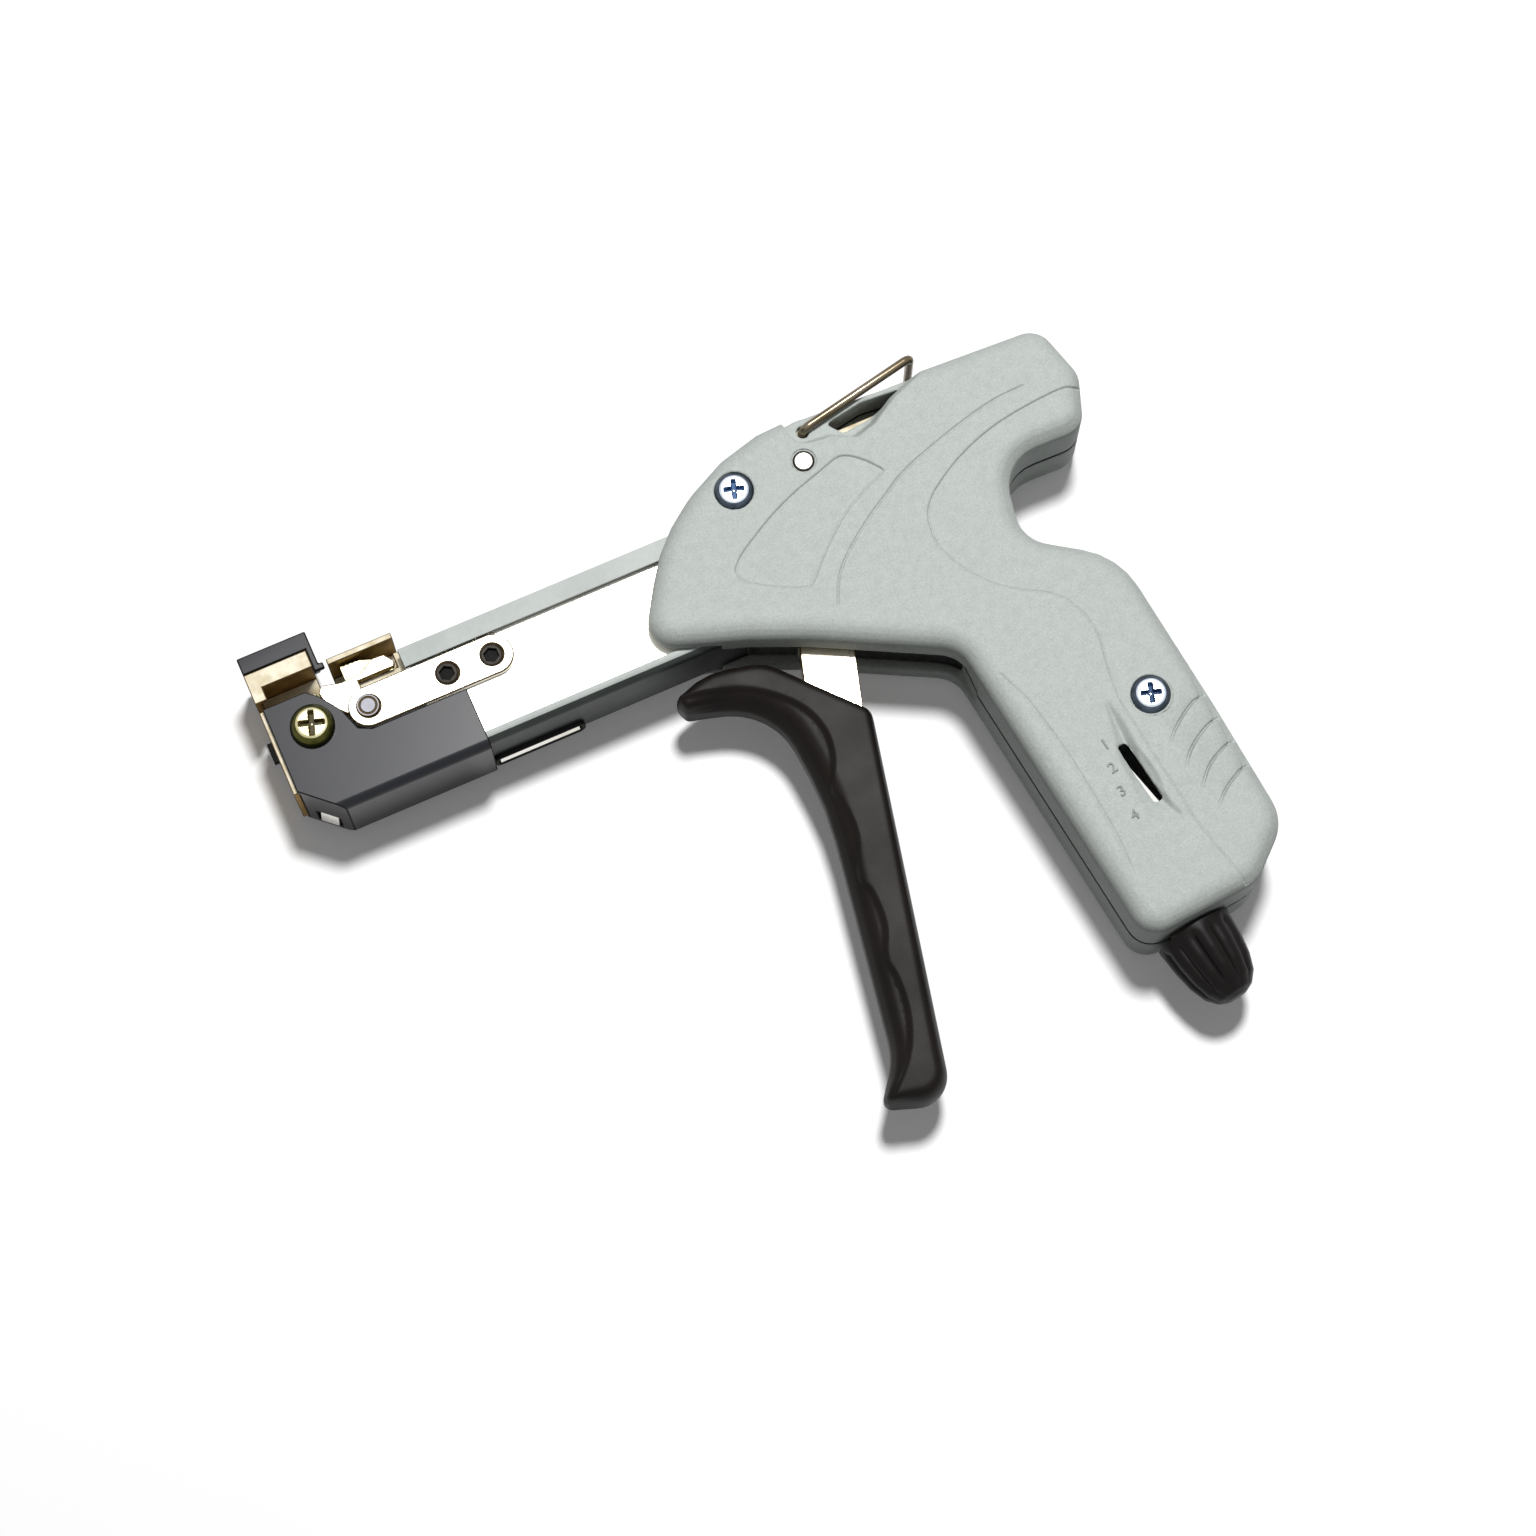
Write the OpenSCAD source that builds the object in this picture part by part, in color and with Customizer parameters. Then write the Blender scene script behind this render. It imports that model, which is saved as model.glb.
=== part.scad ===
// Cable tie tensioning tool for steel ties: pistol-grip housing, open sheet-metal barrel,
// side-entry nose with gripper and cutter, squeeze trigger and tension knob.
// The tool lies on its far side. X runs from the nose to the rear, Y to the top of the tool,
// Z to the near side. The origin is where the tie path crosses the front of the nose.

/* [Housing] */
// Distance from the nose front to the housing
body_start = 75; // [72:0.5:80]
// Length of the housing along the barrel direction
body_l = 104.7; // [100:0.1:110]
// Height of the housing, from knob seat to top
body_h = 128.5; // [124:0.1:134]
// Height of the housing top above the tie path
body_top = 13.3; // [12.5:0.1:14]
// Thickness of one housing half
half_t = 13; // [12.6:0.1:14]
// Wall of the housing halves
wall = 2.2; // [1.8:0.1:2.4]
// Radius of the moulded edge
edge_r = 4; // [3:0.1:4.2]
// Diameter of the housing screw heads
screw_head_d = 7.6; // [7:0.1:8]
// Diameter of the housing screw shanks
screw_d = 3.5; // [3:0.1:4]

/* [Barrel] */
// Width of the barrel channel
barrel_w = 16.4; // [16:0.1:17]
// Height of the barrel channel
barrel_h = 25.4; // [25:0.1:26.2]
// Height of the barrel top above the tie path
barrel_rise = 0.2; // [0.1:0.1:0.6]
// Thickness of the barrel sheet
sheet = 1.4; // [1.2:0.1:1.5]
// Outer bend radius of the barrel sheet
bend_r = 2; // [1.7:0.1:2.4]
// Height of the upper band beside the barrel window
band_h = 4.1; // [3.6:0.1:4.2]
// Height of the lower lip under the barrel window
lip_h = 2.5; // [2:0.1:3]

/* [Nose] */
// Height of the tie slot
tie_gap = 2; // [1.6:0.1:2.4]
// Length of the nose plate along the tie
nose_l = 13.4; // [13:0.1:14]
// Thickness of the nose plate
plate_t = 1.2; // [1:0.05:1.4]
// Height of the hook roof above the tie path
hook_h = 7.5; // [7:0.1:8]
// Drop of the hook's near flange below the roof
hook_drop = 3.7; // [3:0.1:4.2]
// Length of the nose cover
cover_l = 38.8; // [37:0.1:40]
// Thickness of the nose cover
cover_t = 1.25; // [1:0.05:1.4]
// Diameter of the nose screw head
nose_head_d = 9; // [8.4:0.1:9.6]
// Diameter of the nose screw shank
nose_screw_d = 5; // [4:0.1:5.5]

/* [Trigger] */
// Diameter of the trigger pivot pin
pivot_d = 4.4; // [4:0.1:5]
// Reach of the grip end below the pivot
trigger_reach = 128; // [124:0.5:131]
// Width of the moulded grip
grip_w = 13; // [12:0.1:14]
// Thickness of each trigger cheek
cheek_t = 1.8; // [1.5:0.1:2]
// Width of the trigger arm
arm_w = 11; // [10:0.1:12]
// Height of the pull bar above the barrel floor
pull_clear = 2.44; // [2:0.02:4]
// Diameter of the pull pin
pull_pin_d = 4; // [3.6:0.1:4.4]

/* [Gripper] */
// Length of the gripper channel
gripper_l = 14; // [13.6:0.1:14.2]
// Wall of the gripper channel
gripper_t = 1.3; // [1.1:0.05:1.5]
// Diameter of the pawl pin
pawl_pin_d = 2.4; // [2:0.1:2.8]

/* [Cut-off] */
// Height of the link plate
link_h = 8.4; // [8:0.1:8.8]
// Length of the link plate
link_l = 35.2; // [34.8:0.1:35.6]
// Thickness of the link plate and of the cut-off bar
link_t = 1.6; // [1.4:0.1:1.7]
// Diameter of the link pin
link_pin_d = 4.6; // [4.2:0.1:5]
// Head diameter of the socket screws
socket_d = 4.6; // [4.2:0.1:5]

/* [Tension] */
// Diameter of the knob at its top
knob_d = 16; // [15:0.1:17]
// Length of the knob
knob_l = 16.1; // [15:0.1:17]
// Number of knob flutes
knob_flutes = 12; // [8:1:16]
// Diameter of the tension rod
rod_d = 5; // [4.5:0.1:5.5]
// Outer diameter of the tension spring
spring_d = 11; // [10:0.1:12]
// Wire diameter of the tension spring
spring_wire = 1.5; // [1.2:0.1:1.7]
// Turns of the tension spring
spring_turns = 7; // [6:1:8]
// Travel of the tension nut
nut_travel = 10; // [8:0.5:11]

/* [Bail] */
// Diameter of the bail wire
bail_d = 1.8; // [1.6:0.1:2]
// Length of the bail legs
bail_l = 27; // [25:0.1:28]
// Distance between the middles of the bail legs
bail_w = 17.2; // [17:0.1:18]

/* [Hidden] */

// Overrun of every cut
cut = 0.5;
// Clearance of a running fit, on the radius
fit = 0.05;
// Clearance between pieces of one body
seat = 0.02;
// Gap between pieces that pass each other
gap = 0.4;
// Largest turn of one facet of a rounded corner, in degrees
turn_step = 13;

// Colours of the finishes
c_paint = [0.76, 0.79, 0.77];
c_black = [0.10, 0.10, 0.11];
c_grip = [0.20, 0.18, 0.17];
c_nickel = [0.86, 0.85, 0.82];
c_zinc = [0.80, 0.68, 0.38];
c_steel = [0.70, 0.71, 0.72];

// A point of an outline, from its shares of a box
function from_shares(corner, size, shares) =
    [for (s = shares) [corner[0] + s[0] * size[0], corner[1] + s[1] * size[1]]];

function unit(v) = v / norm(v);

// One rounded corner of a loop that runs anticlockwise: [x, y, normal x, normal y, inset]
function corner_points(a, p, b, r, e) =
    let (u = unit(a - p), w = unit(b - p))
    let (half = acos(u * w) / 2, side = sign(cross(p - a, b - p)))
    let (c = p + unit(u + w) * r / sin(half), s = p + u * r / tan(half) - c)
    let (start = atan2(s[1], s[0]), sweep = side * (180 - 2 * half))
    let (n = max(1, ceil(abs(sweep) / turn_step)))
    [for (k = [0:n])
        let (t = start + sweep * k / n)
        [c[0] + r * cos(t), c[1] + r * sin(t), side * cos(t), side * sin(t), e]];

// A closed loop from corners, radii and insets
function loop_points(corners, radii, insets) =
    let (n = len(corners))
    [for (i = [0:n - 1])
        each corner_points(corners[(i + n - 1) % n], corners[i], corners[(i + 1) % n], radii[i], insets[i])];

// The loop moved inwards by d
function inset_loop(loop, d) = [for (p = loop) [p[0] - p[2] * d, p[1] - p[3] * d]];

// Triangles that fill a loop, by cutting its ears one after the other
function side_of(a, b, c) = cross(b - a, c - a);
function flat(p) = [p[0], p[1]];
function is_ear(p, idx, i) =
    let (n = len(idx), a = idx[(i + n - 1) % n], b = idx[i], c = idx[(i + 1) % n])
    side_of(p[a], p[b], p[c]) > 0 && len([for (k = idx) if (k != a && k != b && k != c
        && side_of(p[a], p[b], p[k]) >= 0 && side_of(p[b], p[c], p[k]) >= 0
        && side_of(p[c], p[a], p[k]) >= 0) k]) == 0;
function first_ear(p, idx, i = 0) = i >= len(idx) - 1 || is_ear(p, idx, i) ? i : first_ear(p, idx, i + 1);
function ears(p, idx) = len(idx) == 3 ? [idx] :
    let (i = first_ear(p, idx), n = len(idx))
    concat([[idx[(i + n - 1) % n], idx[i], idx[(i + 1) % n]]],
        ears(p, [for (k = [0:n - 1]) if (k != i) idx[k]]));
function fill_down(points, n) = ears([for (k = [0:n - 1]) flat(points[k])], [for (k = [0:n - 1]) k]);
function fill_up(points, n, from) = [for (t = ears([for (k = [0:n - 1]) flat(points[from + k])],
    [for (k = [0:n - 1]) k])) [t[2] + from, t[1] + from, t[0] + from]];

// A solid whose rings follow a loop. Each ring is [height, fraction of each point's inset]
module loft(loop, rings) {
    n = len(loop);
    m = len(rings);
    points = [for (q = rings) each [for (p = loop)
        [p[0] - p[2] * p[4] * q[1], p[1] - p[3] * p[4] * q[1], q[0]]]];
    sides = [for (j = [0:m - 2]) each [for (i = [0:n - 1])
        let (k = (i + 1) % n)
        each [[j * n + i, (j + 1) * n + k, j * n + k], [j * n + i, (j + 1) * n + i, (j + 1) * n + k]]]];
    polyhedron(points, concat(sides, fill_down(points, n), fill_up(points, n, (m - 1) * n)), convexity = 8);
}

// A bar between z limits with a plain outline
module slab(points, z0, z1) {
    translate([0, 0, z0]) linear_extrude(z1 - z0) polygon(points);
}

module rod_z(at, d, z0, z1) {
    translate([at[0], at[1], z0]) cylinder(d = d, h = z1 - z0, $fn = 48);
}

// A flat bar with round ends between two places
module round_bar(a, b, w, z0, z1) {
    run = b - a;
    rod_z(a, w, z0, z1);
    rod_z(b, w, z0, z1);
    translate([a[0], a[1], z0]) rotate(atan2(run[1], run[0])) translate([0, seat - w / 2, 0])
        cube([norm(run), w - 2 * seat, z1 - z0]);
}

// A round wire swept along points, with the sides set out from a fixed direction
module wire(path, r, up, sides = 6) {
    n = len(path);
    points = [for (i = [0:n - 1])
        let (t = unit(path[min(i + 1, n - 1)] - path[max(i - 1, 0)]))
        let (u = unit(cross(t, up)), v = cross(u, t))
        each [for (k = [0:sides - 1]) path[i] + r * (u * cos(360 * k / sides) + v * sin(360 * k / sides))]];
    body = [for (i = [0:n - 2]) each [for (k = [0:sides - 1])
        let (a = i * sides + k, b = i * sides + (k + 1) % sides)
        each [[a, b, a + sides], [b, b + sides, a + sides]]]];
    ends = [[for (k = [sides - 1:-1:0]) k], [for (k = [0:sides - 1]) (n - 1) * sides + k]];
    polyhedron(points, concat(body, ends), convexity = 10);
}

// Housing outline: corners as shares of its length and height, with the radius as a share of the length
body_shares = [[0, 0.738, 0.053], [0.243, 0.669, 0.764], [0.551, 0.537, 0.067], [0.63, 0, 0.05],
    [0.868, 0.015, 0.086], [0.968, 0.087, 0.086], [0.947, 0.297, 0.573], [0.911, 0.577, 0.153],
    [0.755, 0.663, 0.072], [0.787, 0.794, 0.086], [0.961, 0.791, 0.05], [1, 0.877, 0.05],
    [0.968, 0.976, 0.05], [0.324, 1, 0.43], [0.118, 0.894, 0.382]];
body_at = [body_start, body_top - body_h];
body_size = [body_l, body_h];
least_r = edge_r * 1.15;
body_corners = from_shares(body_at, body_size, body_shares);
body_radii = [for (s = body_shares) max(least_r, s[2] * body_l)];
body_loop = loop_points(body_corners, body_radii, [for (s = body_shares) edge_r]);
function on_body(s) = from_shares(body_at, body_size, [s])[0];

// Places on the housing
pivot = on_body([0.4317, 0.9136]);
screw_at = [on_body([0.2846, 0.9128]), on_body([0.8395, 0.3471])];
handle_turn = 8;
axis_foot = on_body([0.7354, 0.007]);
axis_dir = [-sin(handle_turn), cos(handle_turn)];
bail_at = on_body([0.4632, 0.9735]);

module on_axis() {
    translate([axis_foot[0], axis_foot[1], 0]) rotate([0, 0, handle_turn]) rotate([-90, 0, 0]) children();
}

// Barrel levels
barrel_bottom = barrel_rise - barrel_h;
barrel_half = barrel_w / 2;
barrel_front = nose_l + plate_t / 2;
barrel_in_share = 0.2;
barrel_end = body_start + barrel_in_share * body_l;
inner_half = barrel_half - sheet;

// Layers across the tool
cheek_in = 2.6;
cheek_out = cheek_in + cheek_t;
bar_z = cheek_out + gap;
link_z = bar_z + link_t;
link_top = link_z + link_t;
bracket_t = 1.2;
bracket_in = cheek_out + 1.5 * gap;
bracket_out = bracket_in + bracket_t;
pocket_t = 1;
pocket_z = bracket_out + gap / 2;
pocket_floor = pocket_z + pocket_t;
bar_t = 3;

// Places of the rocker and of the knob's bush
rocker_at = on_body([0.745, 0.6]);
rocker_pin_d = 4;
bush_d = 9;

// The near half and the far half share this shell
round_steps_shares = [0, 0.2, 0.4, 0.6, 0.8, 1];
module half_shell() {
    rings = concat([[0, 0]], [for (s = round_steps_shares)
        [half_t - edge_r + edge_r * sin(90 * s), 1 - cos(90 * s)]]);
    difference() {
        loft(body_loop, rings);
        slab(inset_loop(body_loop, wall), -cut, half_t - wall);
    }
}

// Bosses and ribs inside each half
boss_d = screw_d + 2 * wall;
peg_d = 3;
peg_in = 5;
peg_drop = 3.7;
peg_lift = 4.2;
peg_at = [[barrel_end - peg_in, barrel_rise - peg_drop], [barrel_end - peg_in, barrel_bottom + peg_lift]];
module half_bosses() {
    top = half_t - wall + cut;
    for (p = screw_at) rod_z(p, boss_d, 0, top);
    rod_z(pivot, pivot_d + 2 * wall, bracket_out, top);
    rod_z(rocker_at, rocker_pin_d + wall, link_z + gap, top);
    intersection() {
        slab(inset_loop(body_loop, wall / 2), pocket_z, top);
        slab(from_shares(body_at, body_size, pocket_shares), pocket_z, top);
    }
}

// Pegs that hold the barrel's side walls
module pegs() {
    for (p = peg_at) {
        rod_z(p, peg_d, inner_half + seat, half_t - wall + seat);
        rod_z(p, peg_d + wall, barrel_half + 2 * seat, half_t - wall + seat);
    }
}

// Barrel mouth in the front of the housing
module barrel_mouth() {
    translate([body_start - cut, barrel_bottom - seat, -cut])
        cube([barrel_end - body_start + cut, barrel_h + 2 * seat, barrel_half + seat + cut]);
}

// Trigger slot in the underside
slot_play = 1;
slot_half = cheek_out + slot_play;
slot_shares = [[0.09, 0.66], [0.55, 0.48], [0.562, 0.48], [0.562, 0.57], [0.42, 0.68], [0.09, 0.74]];
module trigger_slot() {
    slab(from_shares(body_at, body_size, slot_shares), -cut, slot_half);
}

// Scalloped pocket at the top of each half, whose floor lies under the bail's leg
scallop_shares = [[0.427, 1.03], [0.428, 0.965], [0.436, 0.95], [0.452, 0.941], [0.475, 0.938],
    [0.505, 0.936],    [0.548, 0.918], [0.59, 0.928], [0.645, 0.955], [0.745, 0.985], [0.80, 1.03]];
pocket_shares = [[0.40, 1.03], [0.40, 0.93], [0.45, 0.9], [0.55, 0.895], [0.62, 0.915], [0.77, 0.965],
    [0.82, 1.03]];
scallop_slope = 2;
module scallop() {
    outer = from_shares(body_at, body_size, scallop_shares);
    n = len(outer);
    points = concat([for (p = outer) [p[0], p[1] + scallop_slope, pocket_floor]],
        [for (p = outer) [p[0], p[1] - cut, half_t + cut]]);
    sides = [for (i = [0:n - 1]) let (k = (i + 1) % n)
        each [[i, n + k, k], [i, n + i, n + k]]];
    polyhedron(points, concat(sides, fill_down(points, n), fill_up(points, n, n)));
}

// Opening in the pocket floor, and the room that the bracket's eyes take
top_hole_shares = [[0.512, 0.971], [0.535, 0.946], [0.592, 0.951], [0.668, 0.969], [0.674, 0.977],
    [0.59, 0.982]];
module top_hole() {
    slab(from_shares(body_at, body_size, top_hole_shares), -cut, pocket_floor + cut);
    rod_z(bail_at, eye_d + 2 * gap, -cut, pocket_z);
    rod_z(bail_at, bail_d + 2 * gap, -cut, half_t);
}

// Round holes that both halves share
module half_bores() {
    rod_z(pivot, pivot_d + 2 * seat, -cut, half_t + cut);
    rod_z(rocker_at, rocker_pin_d + 2 * seat, -cut, half_t - wall);
    on_axis() translate([0, 0, -wall * 2]) cylinder(d = bush_d + 2 * seat, h = wall * 5, $fn = 48);
}

// Tension window: a spindle-shaped recess and a slot at its foot
window_at = on_body([0.7565, 0.2415]);
window_l = 13.5;
window_w = 2.2;
window_depth = 1.4;
spindle_l = 26;
spindle_r = 3.2;
module spindle() {
    arc_r = (spindle_l * spindle_l / 4 + spindle_r * spindle_r) / (2 * spindle_r);
    steps = 8;
    half_angle = asin(spindle_l / 2 / arc_r);
    rotate([-90, 0, 0]) rotate_extrude($fn = 48)
        polygon(concat([[0, -spindle_l / 2]], [for (k = [1:steps - 1])
            let (t = half_angle * (2 * k / steps - 1))
            [arc_r * cos(t) - arc_r + spindle_r, arc_r * sin(t)]], [[0, spindle_l / 2]]));
}
module window_cut() {
    translate([window_at[0], window_at[1], half_t + spindle_r - window_depth]) rotate(handle_turn) spindle();
    translate([window_at[0], window_at[1], half_t - wall - cut]) rotate(handle_turn)
        translate([-window_w / 2, -window_l / 2, 0]) cube([window_w, window_l, wall + 2 * cut]);
}

head_sink = 1.6;
module housing_near() color(c_paint) {
    pegs();
    difference() {
        union() {
            half_shell();
            half_bosses();
        }
        barrel_mouth();
        trigger_slot();
        scallop();
        top_hole();
        half_bores();
        window_cut();
        for (p = screw_at) {
            rod_z(p, screw_d + 2 * seat, -cut, half_t + cut);
            rod_z(p, screw_head_d + gap, half_t - head_sink, half_t + cut);
        }
    }
}

module housing_far() color(c_paint) mirror([0, 0, 1]) {
    pegs();
    difference() {
        union() {
            half_shell();
            half_bosses();
        }
        barrel_mouth();
        trigger_slot();
        scallop();
        top_hole();
        half_bores();
        for (p = screw_at) rod_z(p, screw_d + 2 * seat, -cut, half_t - wall);
    }
}

// A pan head with a domed top and a cross recess
module pan_head(d, h) {
    sag = h * 0.7;
    dome_r = (d * d / 4 + sag * sag) / (2 * sag);
    difference() {
        intersection() {
            cylinder(d = d, h = h, $fn = 48);
            translate([0, 0, h - dome_r]) sphere(r = dome_r, $fn = 64);
        }
        for (t = [0, 90]) rotate(t) translate([-d * 0.27, -d * 0.07, h * 0.45]) cube([d * 0.54, d * 0.14, h]);
    }
}

head_h = 2.6;
module housing_screws() color(c_steel) for (p = screw_at) {
    rod_z(p, screw_d, -half_t + wall + cut, half_t - head_sink + seat);
    translate([p[0], p[1], half_t - head_sink]) pan_head(screw_head_d, head_h);
}

module trigger_pin() color(c_nickel) rod_z(pivot, pivot_d, -half_t, half_t);

// A rounded loop of a rectangle, as [x, y] points
function box_loop(x0, y0, x1, y1, r) =
    inset_loop(loop_points([[x0, y0], [x1, y0], [x1, y1], [x0, y1]], [r, r, r, r], [0, 0, 0, 0]), 0);

// Pull the profile plane (across, up) along X
module along_x(x0, x1) {
    translate([x0, 0, 0]) rotate([90, 0, 90]) linear_extrude(x1 - x0) children();
}

// Barrel: a folded channel, closed on the far side, with a long window on the near side
rear_wall = 10;
window_end = barrel_end - rear_wall;
head_back = 2.8;
head_room = nose_l + gripper_l + head_back;
bottom_slot_l = 19;
bottom_slot_w = 3.8;
bottom_slot_at = [40, -6.3];
module barrel() color(c_paint) difference() {
    along_x(barrel_front, barrel_end) difference() {
        polygon(box_loop(barrel_bottom, -barrel_half, barrel_rise + bend_r, barrel_half, bend_r));
        polygon(box_loop(barrel_bottom + sheet, -inner_half, barrel_rise + 2 * bend_r, inner_half,
            bend_r - sheet));
    }
    translate([barrel_front - cut, barrel_rise, -barrel_w]) cube([barrel_end, barrel_h, 2 * barrel_w]);
    translate([barrel_front - cut, barrel_bottom + lip_h, 0])
        cube([window_end - barrel_front + cut, barrel_h - lip_h - band_h, barrel_half + cut]);
    translate([barrel_front - cut, barrel_bottom + lip_h, -inner_half])
        cube([head_room - barrel_front + cut, barrel_h, barrel_w]);
    translate([bottom_slot_at[0], barrel_bottom - cut, bottom_slot_at[1]])
        cube([bottom_slot_l, sheet + 2 * cut, bottom_slot_w]);
    for (p = peg_at) rod_z(p, peg_d + 2 * seat, -barrel_half - cut, barrel_half + cut);
}

// Nose plate: front strip, hook roof with its near flange, tie floor and side walls
strip_bottom = barrel_bottom + sheet + seat;
leg_w = 2.6;
floor_short = 1.4;
floor_end = nose_l - floor_short;
module nose_plate() color(c_zinc) difference() {
    translate([0, strip_bottom, -barrel_half]) cube([nose_l, hook_h - strip_bottom, barrel_w]);
    translate([plate_t, strip_bottom - cut, -barrel_half + plate_t])
        cube([nose_l, -tie_gap / 2 - plate_t - strip_bottom + cut, barrel_w - 2 * plate_t]);
    translate([plate_t, -tie_gap / 2, -barrel_half + plate_t])
        cube([nose_l, hook_h - plate_t + tie_gap / 2, barrel_w - 2 * plate_t]);
    translate([-cut, -tie_gap / 2, -barrel_half + plate_t]) cube([nose_l + 2 * cut, tie_gap, barrel_w]);
    translate([leg_w, -tie_gap / 2, 0]) cube([nose_l, hook_h - hook_drop + tie_gap / 2, barrel_w]);
    translate([floor_end, strip_bottom - cut, -barrel_half + plate_t])
        cube([nose_l, -strip_bottom + cut, barrel_w]);
    rod_z(nose_at, nose_screw_d + 2 * seat, -barrel_half - cut, barrel_half + cut);
    head_cut();
    slab(concat(chamfer_line(plate_t, cover_t + seat), [[plate_t, cover_bottom]]), -barrel_w, barrel_w);
    translate([-cut, cover_bottom - cut, -barrel_w]) cube([plate_t + cut, chamfer_h + cut, 2 * barrel_w]);
}

// Black cap that wraps the top of the hook
cap_t = 1.3;
cap_h = 3.7;
cap_over = 0.3;
cap_w = barrel_w + 2 * cap_over;
cap_l = nose_l + cap_t + seat;
cap_leg = 5;
nub = 0.9;
module hook_cap() color(c_black) {
    difference() {
        translate([0, hook_h + seat, -cap_w / 2]) cube([cap_l, cap_h, cap_w]);
        translate([cap_t, hook_h - cut, -cap_w / 2 + cap_t])
            cube([cap_l - 2 * cap_t, cap_h - cap_t + cut, cap_w - 2 * cap_t]);
    }
    translate([nose_l + seat, hook_h - cap_leg, cap_w / 2 - cap_t]) cube([cap_t, cap_leg + cap_t, cap_t]);
    translate([nose_l + seat, hook_h - cap_leg, cap_w / 2 - cap_t]) cube([cap_t + nub, nub * 1.5, cap_t]);
}

// Nose cover: a folded black shell round the barrel front
cover_x = 0.9;
cover_half = barrel_half + seat + cover_t;
cover_bottom = barrel_bottom - seat - cover_t;
cover_top = -tie_gap / 2;
chamfer_w = 7.6;
chamfer_h = 6.9;
cover_step_x = 17.2;
cover_step_y = 12.4;
chamfer_slant = norm([chamfer_w, chamfer_h]);
function chamfer_line(x, grow) =
    [[x, cover_bottom + chamfer_h + (grow * chamfer_slant - (x - cover_x) * chamfer_h) / chamfer_w],
     [cover_x + chamfer_w + grow * (chamfer_slant - chamfer_w) / chamfer_h, cover_bottom + grow]];
function cover_side(x, grow) = concat([[x, cover_top + cut]], chamfer_line(x, grow),
    [[cover_x + cover_l + grow, cover_bottom + grow], [cover_x + cover_l + grow, cover_top + cut]]);
lug_l = 1.2;
lug_h = 4.6;
hole_w = 5;
hole_h = 6;
// Cut-away of the near walls behind the link and lever
head_cut_shares = [[-0.58, 0], [-0.4, 0.155], [-0.16, 0.5], [-0.02, 0.9], [0.18, 1], [2.6, 1], [2.6, -0.1],
    [-0.58, -0.1]];
module head_cut() {
    slab(from_shares([cover_step_x, cover_top], [cover_step_y, -cover_step_y], head_cut_shares),
        barrel_half - plate_t - cut, cover_half + cut);
}
module nose_cover() color(c_black) {
    translate([-lug_l, cover_top - lug_h - plate_t, -cover_half])
        cube([lug_l + cover_x + seat, lug_h, cover_t]);
    difference() {
        intersection() {
            slab(cover_side(cover_x, 0), -cover_half, cover_half);
            along_x(0, cover_x + cover_l)
                polygon(box_loop(cover_bottom, -cover_half, cover_top + 3 * bend_r, cover_half, bend_r));
        }
        slab(cover_side(-cut, cover_t), -barrel_half - seat, barrel_half + seat);
        translate([-cut, cover_bottom - cut, -barrel_half - seat])
            cube([plate_t + seat + cut, barrel_h + 2 * cut, barrel_w + 2 * seat]);
        translate([-cut, cover_top, -cover_half - cut])
            cube([cover_l + cover_x + 2 * cut, barrel_h, 2 * cover_half + 2 * cut]);
        for (side = [0, 1]) mirror([0, 0, side]) head_cut();
        rod_z(nose_at, nose_screw_d + 2 * seat, -cover_half - cut, cover_half + cut);
        translate([cover_x + chamfer_w / 2, cover_bottom + chamfer_h / 2, -cover_half / 2])
            rotate(-atan2(chamfer_h, chamfer_w)) cube([hole_w, 4 * cover_t, hole_h], center = true);
    }
}

// Nose screw and the bush it clamps
nose_at = [8.8, -8.3];
nose_head_h = 2.9;
module nose_screw() color(c_zinc) {
    rod_z(nose_at, nose_screw_d, -cover_half, cover_half + seat);
    translate([nose_at[0], nose_at[1], cover_half]) pan_head(nose_head_d, nose_head_h);
}
bush_r = 3.6;
module nose_bush() color(c_steel) difference() {
    rod_z(nose_at, 2 * bush_r, -barrel_half + plate_t + seat, barrel_half - plate_t - seat);
    rod_z(nose_at, nose_screw_d + 2 * seat, -barrel_half, barrel_half);
}

// Bail bracket: two ears on the trigger pin, joined by a web, which carry the bail
ear_d = 9.2;
eye_d = 3.8;
ear_shares = [[0, -0.3], [0.9, 0.2], [1, 0.75], [0.35, 0.75], [0.2, 1], [0, 0.9]];
ear_size = [21, 7.4];
web_l = 4;
module bail_bracket() color(c_nickel) {
    for (side = [0, 1]) mirror([0, 0, side]) difference() {
        union() {
            rod_z(pivot, ear_d, bracket_in, bracket_out);
            rod_z(bail_at, eye_d, bracket_in, bracket_out);
            slab(from_shares(pivot, ear_size, ear_shares), bracket_in, bracket_out);
        }
        rod_z(pivot, pivot_d + 2 * seat, 0, half_t);
        rod_z(bail_at, bail_d + 2 * fit, 0, half_t);
    }
    web_at = from_shares(pivot, ear_size, [[0.9, 0.25]])[0];
    translate([web_at[0] - web_l, web_at[1], -bracket_in]) cube([web_l, bracket_t, 2 * bracket_in]);
}

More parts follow.
